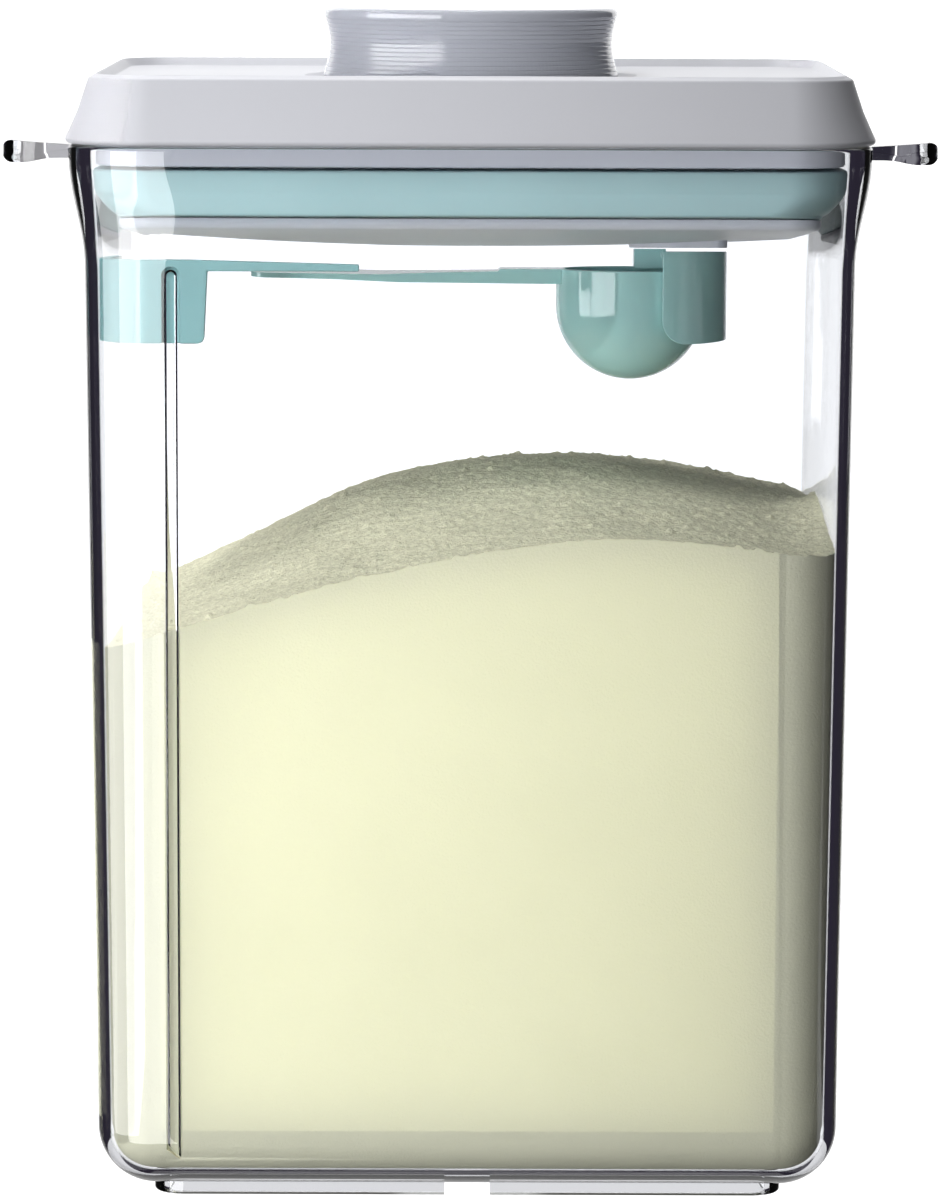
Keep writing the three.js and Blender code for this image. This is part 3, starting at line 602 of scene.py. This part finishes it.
PLUG_R = 11.2
PLUG_LEDGE_Z = 204.1
PLUG_CORE_R = 2.7
SEAL_TOP_Z = 203.45
SEAL_BOTTOM_Z = 195.0
FIT_GAP = 0.3
TRAY_R = 6.7
TRAY_BOTTOM_Z = 192.55
TRAY_ROUND = 1.4
DOME_Z = 189.3
DOME_RINGS = 12
PAD_X = 41.7
PAD_HALF_X = 9.5
PAD_HALF_Y = 13.5
PAD_CORNER_R = 3.0
PAD_Z = 188.9
WELL_R = 30.2
WELL_FLOOR_Z = 198.6
ROUND_STEPS = 128


def turned_shape(outline, steps=ROUND_STEPS, at_x=0.0):
    """Turns an outline of (radius, height) that starts and ends on the axis into a closed round shape."""
    mould = bmesh.new()
    edges = chain(mould, [(at_x + radius, 0, height) for radius, height in outline])
    bmesh.ops.spin(
        mould,
        geom=edges + mould.verts[:],
        cent=(at_x, 0, 0),
        axis=(0, 0, 1),
        angle=2 * math.pi,
        steps=steps,
        use_merge=True,
    )
    bmesh.ops.remove_doubles(mould, verts=mould.verts, dist=0.0005)
    bmesh.ops.recalc_face_normals(mould, faces=mould.faces)
    return mould


def moulded_grey(name, colour, roughness, texture, gloss):
    """Grey ABS from a spark-textured mould; the texture is the grain's width in metres, about twice the real one.

    The gloss is the strength of its reflections, as for the mint plastic.
    """
    finish, tree = new_finish(name)
    place_in = add(tree, "ShaderNodeTexCoord").outputs["Object"]
    spark = add(tree, "ShaderNodeTexNoise", {"Vector": place_in, "Scale": 1 / texture, "Detail": 1.0})
    handled = add(tree, "ShaderNodeTexNoise", {"Vector": place_in, "Scale": 35.0, "Detail": 3.0})
    sheen = add(
        tree,
        "ShaderNodeMapRange",
        {0: handled.outputs["Fac"], 1: 0.3, 2: 0.7, 3: roughness - 0.025, 4: roughness + 0.025},
    )
    skin = add(tree, "ShaderNodeBump", {"Height": spark.outputs["Fac"], "Strength": 0.08, "Distance": 0.0001})
    body = add(
        tree,
        "ShaderNodeBsdfPrincipled",
        {
            "Base Color": linear(colour),
            "Roughness": sheen.outputs[0],
            "IOR": 1.53,
            "Specular IOR Level": gloss,
            "Normal": skin.outputs["Normal"],
        },
    )
    add(tree, "ShaderNodeOutputMaterial", {"Surface": body.outputs[0]})
    return finish


plug_outline = arc(TRAY_R - TRAY_ROUND, TRAY_BOTTOM_Z + TRAY_ROUND, TRAY_ROUND, -90, 0, 6)
plug_outline += [(TRAY_R, SEAL_BOTTOM_Z - FIT_GAP), (PLUG_CORE_R, SEAL_BOTTOM_Z - FIT_GAP)]
plug_outline += [(PLUG_CORE_R, PLUG_LEDGE_Z), (PLUG_R - 0.3, PLUG_LEDGE_Z), (PLUG_R, PLUG_LEDGE_Z + 0.3)]
plug_outline += [(PLUG_R, RIM_Z)]
plug = corner_lathe(plug_outline)
tray_bottom = [f for f in plug.faces if f.normal.z < -0.99 and f.calc_center_median().z < TRAY_BOTTOM_Z + 0.1]
for i in range(1, DOME_RINGS + 1):
    share = 1 - i / (DOME_RINGS + 0.5)
    last = 1 - (i - 1) / (DOME_RINGS + 0.5)
    bmesh.ops.inset_region(plug, faces=tray_bottom, thickness=0.0)
    ring = {v for f in tray_bottom for v in f.verts}
    bmesh.ops.scale(plug, verts=list(ring), vec=(share / last, share / last, 1))
    level = TRAY_BOTTOM_Z + (DOME_Z - TRAY_BOTTOM_Z) * (1 - share * share)
    for vert in ring:
        vert.co.z = level
pad = slab(rounded_plan(PAD_HALF_X, PAD_HALF_Y, PAD_CORNER_R, PAD_Z), (0, 0, TRAY_BOTTOM_Z + 1 - PAD_Z))
bmesh.ops.translate(pad, verts=pad.verts, vec=(PAD_X, 0, 0))
plug = combine(plug, soften(pad, 0.3), "UNION")
well = turned_shape([(0, WELL_FLOOR_Z), (WELL_R, WELL_FLOOR_Z), (WELL_R, RIM_Z + 1), (0, RIM_Z + 1)])
plug = combine(plug, well, "DIFFERENCE")

# The plug's grey is painted lighter than its own, to stand in for light in the shade under the lid and rim
plug_finish_painted_lighter = moulded_grey("grey_abs_plug_painted_lighter", "#ced1db", 0.36, 0.0005, 0.4)
lid_plug = place(plug, "lid_plug_tray", plug_finish_painted_lighter)
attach(lid_plug, "canister")
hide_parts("lid_plug")


# The seal
# A mint silicone ring stretched round the plug's core. Its upright lip presses on the rim's inside. Below the lip its
# front and back stay nearly upright, and its two ends draw in.

SEAL_LIP_Z = 200.4
SEAL_TOP_R = 11.7
SEAL_UNDER_R = 11.3
SEAL_FOOT_R = 10.9
SEAL_FOOT_SHARE = 0.935
SEAL_LIP_DEEP = 0.8
SEAL_ROUND = 0.5


def stacked(levels):
    """Bridges level outlines of one count of points, each to the next and the last to the first, to a closed ring."""
    mould = bmesh.new()
    rings = [chain(mould, points, closed=True) for points in levels]
    for low, high in zip(rings, rings[1:] + rings[:1]):
        bmesh.ops.bridge_loops(mould, edges=low + high)
    bmesh.ops.recalc_face_normals(mould, faces=mould.faces)
    return mould


def seal_level(radius, height, share_x=1.0):
    """The seal's outline at a height, from its corner radius and its share of the corner spacing along X."""
    return rounded_plan(share_x * CORNER_X + radius, CORNER_Y + radius, radius, height, steps=16)


seal_levels = [seal_level(PLUG_CORE_R + FIT_GAP, z) for z in (SEAL_TOP_Z, SEAL_BOTTOM_Z)]
for radius, height in arc(SEAL_FOOT_R - SEAL_ROUND, SEAL_BOTTOM_Z + SEAL_ROUND, SEAL_ROUND, -90, 0, 3):
    seal_levels.append(seal_level(radius, height, SEAL_FOOT_SHARE))
under_z = SEAL_LIP_Z - SEAL_LIP_DEEP
for drop, drawn_in in ((0.75, 0.72), (0.5, 0.44), (0.25, 0.18), (0.1, 0.05), (0.0, 0.0)):
    radius = SEAL_UNDER_R + (SEAL_FOOT_R - SEAL_UNDER_R) * drawn_in
    height = under_z + (SEAL_BOTTOM_Z - under_z) * drop
    seal_levels.append(seal_level(radius, height, 1 - (1 - SEAL_FOOT_SHARE) * drawn_in))
seal_levels.append(seal_level(SEAL_TOP_R - 0.2, SEAL_LIP_Z))
for radius, height in arc(SEAL_TOP_R - SEAL_ROUND, SEAL_TOP_Z - SEAL_ROUND, SEAL_ROUND, 0, 90, 3):
    seal_levels.append(seal_level(radius, height))

seal_finish = moulded_mint("mint_moulded_silicone", "#b2d1d4", 0.42, 0.02, 0.3)
seal_ring = place(stacked(seal_levels), "seal_ring_lip", seal_finish)
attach(seal_ring, "canister")
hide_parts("seal_ring")


# The scoop clip
# Mint polypropylene: a thin plate, a wall that bends half round the scoop's cup, and a stop over the cup's rim that
# also carries the plate, a little clear of it, under the tray's pad.

SCOOP_RIM_Z = 181.65
CLIP_X = 34.6
CLIP_LONG_R = 17.0
CLIP_ROUND_R = 16.2
CLIP_WALL = 1.8
CLIP_JAW_X = 38.2
CLIP_TOP_Z = 187.75
CLIP_BOTTOM_Z = 166.9
CLIP_JAW_CORNER_R = 5.0
CLIP_PLATE = 1.8
CLIP_EDGE_ROUND = 0.5
STOP_LEFT_X = 32.8
STOP_HALF = 4.5


def oval(long_r, round_r, height, steps=72):
    """Points round the clip's oval plan, level at one height."""
    turns = [2 * math.pi * i / steps for i in range(steps)]
    return [(CLIP_X + long_r * math.cos(t), round_r * math.sin(t), height) for t in turns]


clip = slab(oval(CLIP_LONG_R, CLIP_ROUND_R, CLIP_BOTTOM_Z), (0, 0, CLIP_TOP_Z - CLIP_BOTTOM_Z))
hollow = slab(
    oval(CLIP_LONG_R - CLIP_WALL, CLIP_ROUND_R - CLIP_WALL, CLIP_BOTTOM_Z - 1),
    (0, 0, CLIP_TOP_Z - CLIP_PLATE - CLIP_BOTTOM_Z + 1),
)
clip = combine(clip, hollow, "DIFFERENCE")
far_x = CLIP_X + CLIP_LONG_R + 1
jaw = arc(CLIP_JAW_X + CLIP_JAW_CORNER_R, CLIP_BOTTOM_Z + CLIP_JAW_CORNER_R, CLIP_JAW_CORNER_R, 270, 180, 12)
jaw = [(far_x, CLIP_BOTTOM_Z - 1), (CLIP_JAW_X + CLIP_JAW_CORNER_R, CLIP_BOTTOM_Z - 1)] + jaw
jaw += [(CLIP_JAW_X, CLIP_TOP_Z + 1), (far_x, CLIP_TOP_Z + 1)]
clip = combine(clip, block(jaw, -20, 40), "INTERSECT")
stop_z = SCOOP_RIM_Z + FIT_GAP
stop_view = [(STOP_LEFT_X, stop_z), (CLIP_JAW_X + 1, stop_z)]
stop_view += [(CLIP_JAW_X + 1, PAD_Z - FIT_GAP), (STOP_LEFT_X, PAD_Z - FIT_GAP)]
clip = combine(clip, block(stop_view, -STOP_HALF, 2 * STOP_HALF), "UNION")
clip = soften(clip, CLIP_EDGE_ROUND, least=45, segments=3)

# The same mint polypropylene as the leveller's, its colour painted lighter to stand in for light the clip and scoop
# lack
scoop_finish_painted_lighter = moulded_mint("mint_polypropylene_gloss_painted_lighter", "#b0dedd", 0.06, 0.012, 0.9)
scoop_clip = place(clip, "scoop_clip_jaw", scoop_finish_painted_lighter)
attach(scoop_clip, "canister")
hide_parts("scoop_clip")


# The scoop
# Mint polypropylene, moulded in one: a round-bottomed cup with a wall of 1.4 mm and a long flat handle that thins
# towards its tip. It hangs level under the lid, its cup held by the clip.

SCOOP_X = 32.2
SCOOP_R = 14.9
SCOOP_WALL = 1.4
SCOOP_BOTTOM_Z = 158.8
CUP_LIP_R = 0.45
HANDLE_TIP_X = -44.0
HANDLE_TOP = ((6, SCOOP_RIM_Z), (5.5, 180.9), (-18, 180.1), (HANDLE_TIP_X, 180.5))
HANDLE_UNDERSIDE = ((HANDLE_TIP_X, 179.5), (-28, 179.15), (-14, 178.5))
HANDLE_ROOT_LOW_Z = 178.2
HANDLE_HALF = 5.5
HANDLE_CORNER_R = 4.0

ball_z = SCOOP_BOTTOM_Z + SCOOP_R
inside_r = SCOOP_R - SCOOP_WALL
cup_outline = [(0, SCOOP_BOTTOM_Z)] + arc(0, ball_z, SCOOP_R, -90, 0, 26)[1:]
cup_outline += arc(SCOOP_R - CUP_LIP_R, SCOOP_RIM_Z - CUP_LIP_R, CUP_LIP_R, 0, 90, 3)
cup_outline += arc(inside_r + CUP_LIP_R, SCOOP_RIM_Z - CUP_LIP_R, CUP_LIP_R, 90, 180, 3)
cup_outline += arc(0, ball_z, inside_r, 0, -90, 22)[:-1] + [(0, ball_z - inside_r)]
cup = turned_shape(cup_outline, steps=96, at_x=SCOOP_X)

root_x = SCOOP_X - SCOOP_R + 1
side_view = [(root_x, SCOOP_RIM_Z), *HANDLE_TOP, *HANDLE_UNDERSIDE, (root_x, HANDLE_ROOT_LOW_Z)]
bar = block(side_view, -HANDLE_HALF, 2 * HANDLE_HALF)
half_long = (root_x + 10 - HANDLE_TIP_X) / 2
plan = slab(rounded_plan(half_long, HANDLE_HALF, HANDLE_CORNER_R, SCOOP_RIM_Z - 4), (0, 0, 5))
bmesh.ops.translate(plan, verts=plan.verts, vec=(HANDLE_TIP_X + half_long, 0, 0))
bar = soften(combine(bar, plan, "INTERSECT"), 0.3, least=45)
bowl_space = turned_shape([(0, ball_z), (inside_r, ball_z), (inside_r, ball_z + 20), (0, ball_z + 20)], 96, SCOOP_X)
scoop_shape = combine(cup, combine(bar, bowl_space, "DIFFERENCE"), "UNION")

scoop = place(scoop_shape, "scoop_cup_and_handle", scoop_finish_painted_lighter)
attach(scoop, "canister")
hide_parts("scoop")


# The lid cover
# Pale grey ABS with a satin mould finish: sides that lean in, a raised rim round a shallow recess, and a dished round
# well for the button. It is pressed onto the plug from above.

LID_BOTTOM_Z = 208.0
LID_TOP_Z = 220.9
LID_BOTTOM_R = 17.0
LID_TOP_R = 12.7
LID_EDGE_ROUND = 0.9
LID_CREST_R = 11.0
LID_CREST_Z = 221.4
LID_SIDE_HOLLOW = 0.25
LID_RECESS_R = 9.2
LID_RECESS_Z = 219.8
DISH_R = 33.2
DISH_DEEP = 1.6

cover_outline = arc(LID_BOTTOM_R - LID_EDGE_ROUND, LID_BOTTOM_Z + LID_EDGE_ROUND, LID_EDGE_ROUND, -90, 15, 8)
cover_outline += [((LID_BOTTOM_R + LID_TOP_R) / 2 - LID_SIDE_HOLLOW, (LID_BOTTOM_Z + LID_TOP_Z) / 2)]
cover_outline += arc(LID_TOP_R - LID_EDGE_ROUND, LID_TOP_Z - LID_EDGE_ROUND, LID_EDGE_ROUND, 15, 90, 6)
cover_outline += [(LID_CREST_R + 0.35, LID_CREST_Z - 0.12), (LID_CREST_R, LID_CREST_Z)]
cover_outline += [(LID_CREST_R - 0.3, LID_CREST_Z - 0.12), (LID_RECESS_R + 0.3, LID_RECESS_Z + 0.17)]
cover_outline += [(LID_RECESS_R + 0.1, LID_RECESS_Z + 0.04), (LID_RECESS_R - 0.15, LID_RECESS_Z)]
cover = corner_lathe(cover_outline)
dish_outline = [(0, LID_BOTTOM_Z - 1), (WELL_R, LID_BOTTOM_Z - 1), (WELL_R, LID_RECESS_Z - DISH_DEEP - 0.2)]
dish_outline += [(WELL_R + 0.3, LID_RECESS_Z - DISH_DEEP), (DISH_R - 1, LID_RECESS_Z - 0.5 * DISH_DEEP)]
dish_outline += [(DISH_R - 0.15, LID_RECESS_Z - 0.15), (DISH_R + 0.3, LID_RECESS_Z + 0.01)]
dish_outline += [(DISH_R + 0.3, LID_CREST_Z + 1), (0, LID_CREST_Z + 1)]
cover = combine(cover, turned_shape(dish_outline), "DIFFERENCE")

cover_finish = moulded_grey("pale_grey_moulded_abs", "#bfc0c6", 0.4, 0.0005, 0.3)
lid_cover = place(cover, "lid_cover_shell", cover_finish, sharp=50)
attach(lid_cover, "canister")
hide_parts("lid_cover")


# The button
# A round ABS knob, waisted for the fingers and ringed with fine moulded grooves, smooth at its top flange and on top.
# It slides straight down in the lid's well and springs back up.

BUTTON_TOP_Z = 233.4
BUTTON_BOTTOM_Z = 208.6
BUTTON_R = 29.6
BUTTON_WAIST_R = 28.3
BUTTON_RIM_R = 29.4
BUTTON_ROUND = 1.5
BUTTON_FLANGE = 1.6
BUTTON_FOOT_ROUND = 0.8
RING_PITCH = 0.87
RING_DEEP = 0.1
RING_POINTS = 6
RINGED_SHARE = 0.97
LINES_ROUND = 220
FLUTE_NONE = 2.4
FLUTE_FULL = 3.4

waist_bottom_z = LID_RECESS_Z
waist_top_z = BUTTON_TOP_Z - BUTTON_FLANGE
waist_deep = (BUTTON_R + BUTTON_RIM_R) / 2 - BUTTON_WAIST_R
knob_outline = [(0, BUTTON_BOTTOM_Z), (BUTTON_R - BUTTON_FOOT_ROUND, BUTTON_BOTTOM_Z)]
knob_outline += [(BUTTON_R, BUTTON_BOTTOM_Z + BUTTON_FOOT_ROUND)]
ring_rows = round((waist_top_z - waist_bottom_z) / RING_PITCH * RING_POINTS)
for i in range(ring_rows + 1):
    share = i / ring_rows
    waist = BUTTON_R + (BUTTON_RIM_R - BUTTON_R) * share - waist_deep * math.sin(math.pi * share)
    groove = RING_DEEP if i % RING_POINTS == 0 and share < RINGED_SHARE else 0
    knob_outline.append((waist - groove, waist_bottom_z + (waist_top_z - waist_bottom_z) * share))
knob_outline += arc(BUTTON_RIM_R - BUTTON_ROUND, BUTTON_TOP_Z - BUTTON_ROUND, BUTTON_ROUND, 20, 90, 8)
knob_outline += [(0, BUTTON_TOP_Z)]
knob = turned_shape(knob_outline, steps=160)

# Grey ABS with a fine upright fluting over the rings, 220 lines round, as a turned and cut mould leaves it. The
# polished mould gives it the sharpest reflections of the lid's pieces. The fluting ends below the smooth flange.
button_finish, tree = new_finish("grey_moulded_abs_ringed")
place_in = add(tree, "ShaderNodeTexCoord").outputs["Object"]
around = add(tree, "ShaderNodeTexGradient", {"Vector": place_in}, gradient_type="RADIAL")
turn = add(
    tree,
    "ShaderNodeMath",
    {0: around.outputs["Fac"], 1: 2 * math.pi * LINES_ROUND},
    operation="MULTIPLY",
)
flute = add(tree, "ShaderNodeMath", {0: turn.outputs[0]}, operation="SINE")
upright = add(tree, "ShaderNodeSeparateXYZ", {0: place_in})
below_flange = add(
    tree,
    "ShaderNodeMapRange",
    {0: upright.outputs["Z"], 1: (BUTTON_TOP_Z - FLUTE_NONE) * MM, 2: (BUTTON_TOP_Z - FLUTE_FULL) * MM},
)
fluted = add(tree, "ShaderNodeMath", {0: flute.outputs[0], 1: below_flange.outputs[0]}, operation="MULTIPLY")
skin = add(tree, "ShaderNodeBump", {"Height": fluted.outputs[0], "Strength": 0.05, "Distance": 0.0001})
spark = add(tree, "ShaderNodeTexNoise", {"Vector": place_in, "Scale": 2000.0, "Detail": 1.0})
textured = add(
    tree,
    "ShaderNodeBump",
    {"Height": spark.outputs["Fac"], "Strength": 0.06, "Distance": 0.0001, "Normal": skin.outputs["Normal"]},
)
body = add(
    tree,
    "ShaderNodeBsdfPrincipled",
    {
        "Base Color": linear("#abaeb7"),
        "Roughness": 0.06,
        "IOR": 1.53,
        "Specular IOR Level": 0.8,
        "Normal": textured.outputs["Normal"],
    },
)
add(tree, "ShaderNodeOutputMaterial", {"Surface": body.outputs[0]})

button = place(knob, "push_button_knob", button_finish, sharp=30)
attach(button, "button")
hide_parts("button")


# The studio
# A plain white floor and surround, brighter than paper, so that the clear walls stay clean. What the camera sees
# through the edge of one wall alone looks past that light into the dark room, which draws a clear box's edges.

FLOOR_HALF = 30.0
FLOOR_LOW_Z = -0.00002
FLOOR_GLOW = 1.45
WORLD_GLOW = 1.5
DARK_ROOM = "#2a2633"
ROOM_LEFT = "#86858c"
ROOM_RIGHT = "#2a2833"
FOOT_STRIP = "#e6e6e8"
STRIP_Y = -0.0275
STRIP_HALF = 0.0125
SURROUND_LIGHT = 0.03
WALL_GLANCED = 0.9
WALL_SHONE = 0.2
FLOOR_FILL = 0.13
SIDES_TURN = (-0.09, 0.09)
GAP_TURN = (0.01, 0.016)
ROOM_TURN = (0.1, 0.16)
GLANCE_TURN = (0.38, 0.68)
SHONE_TURN = (0.6, 1.2)
KEY_LIGHT = 1.8
KEY_SHEEN = 5.0
HIGH_LIGHT = 1.18
HIGH_SPREAD = 26.0
STRIP_LIGHT = 0.95
STRIP_SPREAD = 26.0
VEIL_LIGHT = 5.0
TOP_LIGHT = 6.0
BOARD_LIGHT = 1.45
LOW_LIGHT = 1.4


def stage_sheet(name, finish, wide, deep, turn, place_at):
    """A flat rectangle of the studio, turned by a matrix and put in place."""
    shape = bmesh.new()
    bmesh.ops.create_grid(shape, x_segments=1, y_segments=1, size=0.5)
    bmesh.ops.scale(shape, verts=shape.verts, vec=(wide, deep, 1))
    bmesh.ops.transform(shape, verts=shape.verts, matrix=Matrix.Translation(place_at) @ turn)
    mesh = bpy.data.meshes.new(name)
    shape.to_mesh(mesh)
    shape.free()
    mesh.materials.append(finish)
    sheet = bpy.data.objects.new(name, mesh)
    bpy.context.scene.collection.objects.link(sheet)
    return sheet


def banded(tree, signal, band, first, last):
    """One colour up to the low end of a signal's band, another from its high end on, and a soft step between them."""
    low, high = band
    step = add(tree, "ShaderNodeMapRange", {0: signal, 1: low, 2: high}, interpolation_type="SMOOTHSTEP").outputs[0]
    return add(tree, "ShaderNodeMix", {0: step, 6: first, 7: last}, data_type="RGBA").outputs[2]


def grey(value):
    """A linear grey of that value."""
    return (value, value, value, 1)


def ray_story(tree):
    """Three signals of 0 or 1 on a ray's way so far: it lit a piece, it glanced off one, it passed one wall alone."""
    path = add(tree, "ShaderNodeLightPath").outputs
    lit = add(tree, "ShaderNodeMath", {0: path["Diffuse Depth"], 1: 0.5}, operation="GREATER_THAN").outputs[0]
    glanced = add(tree, "ShaderNodeMath", {0: path["Glossy Depth"], 1: 0.5}, operation="GREATER_THAN").outputs[0]
    edge = add(
        tree,
        "ShaderNodeMath",
        {0: path["Transmission Depth"], 1: 2.0, 2: 1.4},
        operation="COMPARE",
    ).outputs[0]
    return lit, glanced, edge


def studio_colour(tree, white, fill, toward):
    """What a ray that leaves the object finds, from where it goes.

    Straight on, and through both walls of the box, that is white. Bent by the edge of one wall, it finds the dark
    room, but for a narrow gap behind and, on the floor, a light strip just behind the front foot rail. After lighting
    a piece it finds the fill's grey, and after a glance off one a dark grey, either of them lighter behind.
    """
    lit, glanced, edge = ray_story(tree)
    way = add(tree, "ShaderNodeSeparateXYZ", {0: toward}).outputs
    turn = add(tree, "ShaderNodeMath", {0: way["X"], 1: way["Y"]}, operation="ARCTAN2").outputs[0]
    aside = add(tree, "ShaderNodeMath", {0: turn}, operation="ABSOLUTE").outputs[0]
    sides = banded(tree, turn, SIDES_TURN, linear(ROOM_LEFT), linear(ROOM_RIGHT))
    gap = banded(tree, aside, GAP_TURN, grey(white), sides)
    room = banded(tree, aside, ROOM_TURN, gap, linear(DARK_ROOM))
    strip = add(
        tree,
        "ShaderNodeMath",
        {0: way["Y"], 1: STRIP_Y, 2: STRIP_HALF},
        operation="COMPARE",
    ).outputs[0]
    past_edge = add(tree, "ShaderNodeMix", {0: strip, 6: room, 7: linear(FOOT_STRIP)}, data_type="RGBA").outputs[2]
    glance = banded(tree, aside, GLANCE_TURN, grey(WALL_GLANCED), grey(SURROUND_LIGHT))
    shone = banded(tree, aside, SHONE_TURN, grey(WALL_SHONE), grey(fill))
    ground = add(tree, "ShaderNodeMix", {0: glanced, 6: grey(white), 7: glance}, data_type="RGBA").outputs[2]
    found = add(tree, "ShaderNodeMix", {0: edge, 6: ground, 7: past_edge}, data_type="RGBA").outputs[2]
    return add(tree, "ShaderNodeMix", {0: lit, 6: found, 7: shone}, data_type="RGBA").outputs[2]


floor_finish, tree = new_finish("glowing_white_floor")
spot = add(tree, "ShaderNodeTexCoord").outputs["Object"]
seen = studio_colour(tree, FLOOR_GLOW, FLOOR_FILL, spot)
glow = add(tree, "ShaderNodeEmission", {"Color": seen, "Strength": 1.0})
add(tree, "ShaderNodeOutputMaterial", {"Surface": glow.outputs[0]})
floor = stage_sheet("studio_floor", floor_finish, 2 * FLOOR_HALF, 2 * FLOOR_HALF, Matrix(), (0, 0, FLOOR_LOW_Z))
floor.visible_diffuse = False
floor.visible_glossy = False
floor.visible_shadow = False

# A white board behind, which only the pieces' own shine shows
board_finish, tree = new_finish("white_board_behind")
shine = add(tree, "ShaderNodeEmission", {"Color": linear("#ffffff"), "Strength": BOARD_LIGHT})
add(tree, "ShaderNodeOutputMaterial", {"Surface": shine.outputs[0]})
board = stage_sheet("board_behind", board_finish, 1.2, 1.2, Matrix.Rotation(math.pi / 2, 4, "X"), (0, 0.9, 0.4))
board.visible_camera = False
board.visible_diffuse = False
board.visible_transmission = False
board.visible_shadow = False


def softbox(name, radiance, size, place_at, aim_at):
    """An area light of an even radiance, wide by high. It lights the pieces, and the camera doesn't see it."""
    data = bpy.data.lights.new(name, "AREA")
    data.shape = "RECTANGLE"
    data.size, data.size_y = size
    data.energy = radiance * math.pi * size[0] * size[1]
    data.cycles.use_multiple_importance_sampling = False
    lamp = bpy.data.objects.new(name, data)
    lamp.location = place_at
    lamp.rotation_euler = (Vector(place_at) - Vector(aim_at)).to_track_quat("Z", "Y").to_euler()
    lamp.visible_camera = False
    bpy.context.scene.collection.objects.link(lamp)
    return lamp


def light_only(lamp, piece):
    """Keeps a lamp's light to one piece."""
    group = bpy.data.collections.new(f"{lamp.name}_piece")
    group.objects.link(piece)
    lamp.light_linking.receiver_collection = group


key = softbox(
    "softbox_key_left",
    KEY_LIGHT,
    size=(0.84, 0.90),
    place_at=(-0.535, -0.40, 0.25),
    aim_at=(0, -0.08, 0.25),
)
key.visible_glossy = False

# The key's own bright face, which only the solid pieces reflect
face_finish, tree = new_finish("softbox_face")
lit, glanced, edge = ray_story(tree)
off_piece = add(tree, "ShaderNodeMath", {0: glanced, 1: edge}, operation="SUBTRACT", use_clamp=True).outputs[0]
shown = add(tree, "ShaderNodeMath", {0: off_piece, 1: lit}, operation="SUBTRACT", use_clamp=True).outputs[0]
unseen = add(tree, "ShaderNodeBsdfTransparent", {"Color": linear("#ffffff")})
face_glow = add(tree, "ShaderNodeEmission", {"Color": linear("#ffffff"), "Strength": KEY_SHEEN})
mixed = add(tree, "ShaderNodeMixShader", {0: shown, 1: unseen.outputs[0], 2: face_glow.outputs[0]})
add(tree, "ShaderNodeOutputMaterial", {"Surface": mixed.outputs[0]})
face_finish.cycles.emission_sampling = "NONE"
face_at = Vector((-0.535, -0.40, 0.20))
face_turn = (face_at - Vector((0, -0.08, 0.20))).to_track_quat("Z", "Y").to_matrix().to_4x4()
face = stage_sheet("softbox_key_face", face_finish, 0.84, 0.70, face_turn, face_at)
face.visible_camera = False
face.visible_diffuse = False
face.visible_shadow = False

high = softbox(
    "softbox_high_left",
    HIGH_LIGHT,
    size=(0.12, 0.5),
    place_at=(-0.42, -0.74, 0.97),
    aim_at=(-0.05, -0.05, 0.12),
)
high.data.spread = math.radians(HIGH_SPREAD)
high.visible_glossy = False
strip_light = softbox(
    "softbox_strip_left",
    STRIP_LIGHT,
    size=(0.08, 1.05),
    place_at=(-0.35, -0.95, 0.175),
    aim_at=(-0.06, -0.05, 0.175),
)
strip_light.data.spread = math.radians(STRIP_SPREAD)
strip_light.visible_glossy = False

# The veil shows only as a pale reflection in the clear front wall, at the left
veil = softbox(
    "softbox_for_clear_wall",
    VEIL_LIGHT,
    size=(0.398, 0.55),
    place_at=(-0.2655, -0.375, 0.075),
    aim_at=(-0.1155, -0.006, 0.075),
)
veil.data.cycles.use_multiple_importance_sampling = True
veil.visible_transmission = False
light_only(veil, canister)
softbox("softbox_overhead", TOP_LIGHT, size=(0.5, 0.3), place_at=(-0.15, 0.20, 0.75), aim_at=(-0.15, 0.20, 0))
low = softbox(
    "softbox_low_front",
    LOW_LIGHT,
    size=(0.5, 0.25),
    place_at=(-0.16, -0.55, 0.0),
    aim_at=(0, 0, 0.2),
)
light_only(low, lid_plug)

surround = bpy.data.worlds.new("white_surround")
surround.use_nodes = True
tree = surround.node_tree
tree.nodes.clear()
outward = add(tree, "ShaderNodeTexCoord").outputs["Generated"]
seen = studio_colour(tree, WORLD_GLOW, SURROUND_LIGHT, outward)
glow = add(tree, "ShaderNodeBackground", {"Color": seen, "Strength": 1.0})
add(tree, "ShaderNodeOutputWorld", {"Surface": glow.outputs[0]})
bpy.context.scene.world = surround


# The camera
# A long lens 1.1 m in front of the container and a little above it, looking down by 7.6 degrees.

FOCAL_PIXELS = 5469.0
FRAME_HIGH = 1200.0
LOOK_DOWN = 7.60
ROLL = 0.19
LENS_PLACE = (0.0004, -1.1, 0.2604)
SENSOR_HIGH = 36.0

lens = bpy.data.cameras.new("camera")
lens.sensor_fit = "VERTICAL"
lens.sensor_height = SENSOR_HIGH
lens.lens = SENSOR_HIGH * FOCAL_PIXELS / FRAME_HIGH
lens.clip_start = 0.05
lens.clip_end = 100.0
camera = bpy.data.objects.new("camera", lens)
stand = Matrix.Translation(LENS_PLACE)
tilt = Matrix.Rotation(math.radians(90 - LOOK_DOWN), 4, "X")
camera.matrix_world = stand @ tilt @ Matrix.Rotation(math.radians(ROLL), 4, "Z")
bpy.context.scene.collection.objects.link(camera)
bpy.context.scene.camera = camera
bpy.context.scene.view_settings.view_transform = "Standard"
bpy.context.scene.cycles.use_denoising = True
bpy.context.scene.cycles.blur_glossy = 0.0
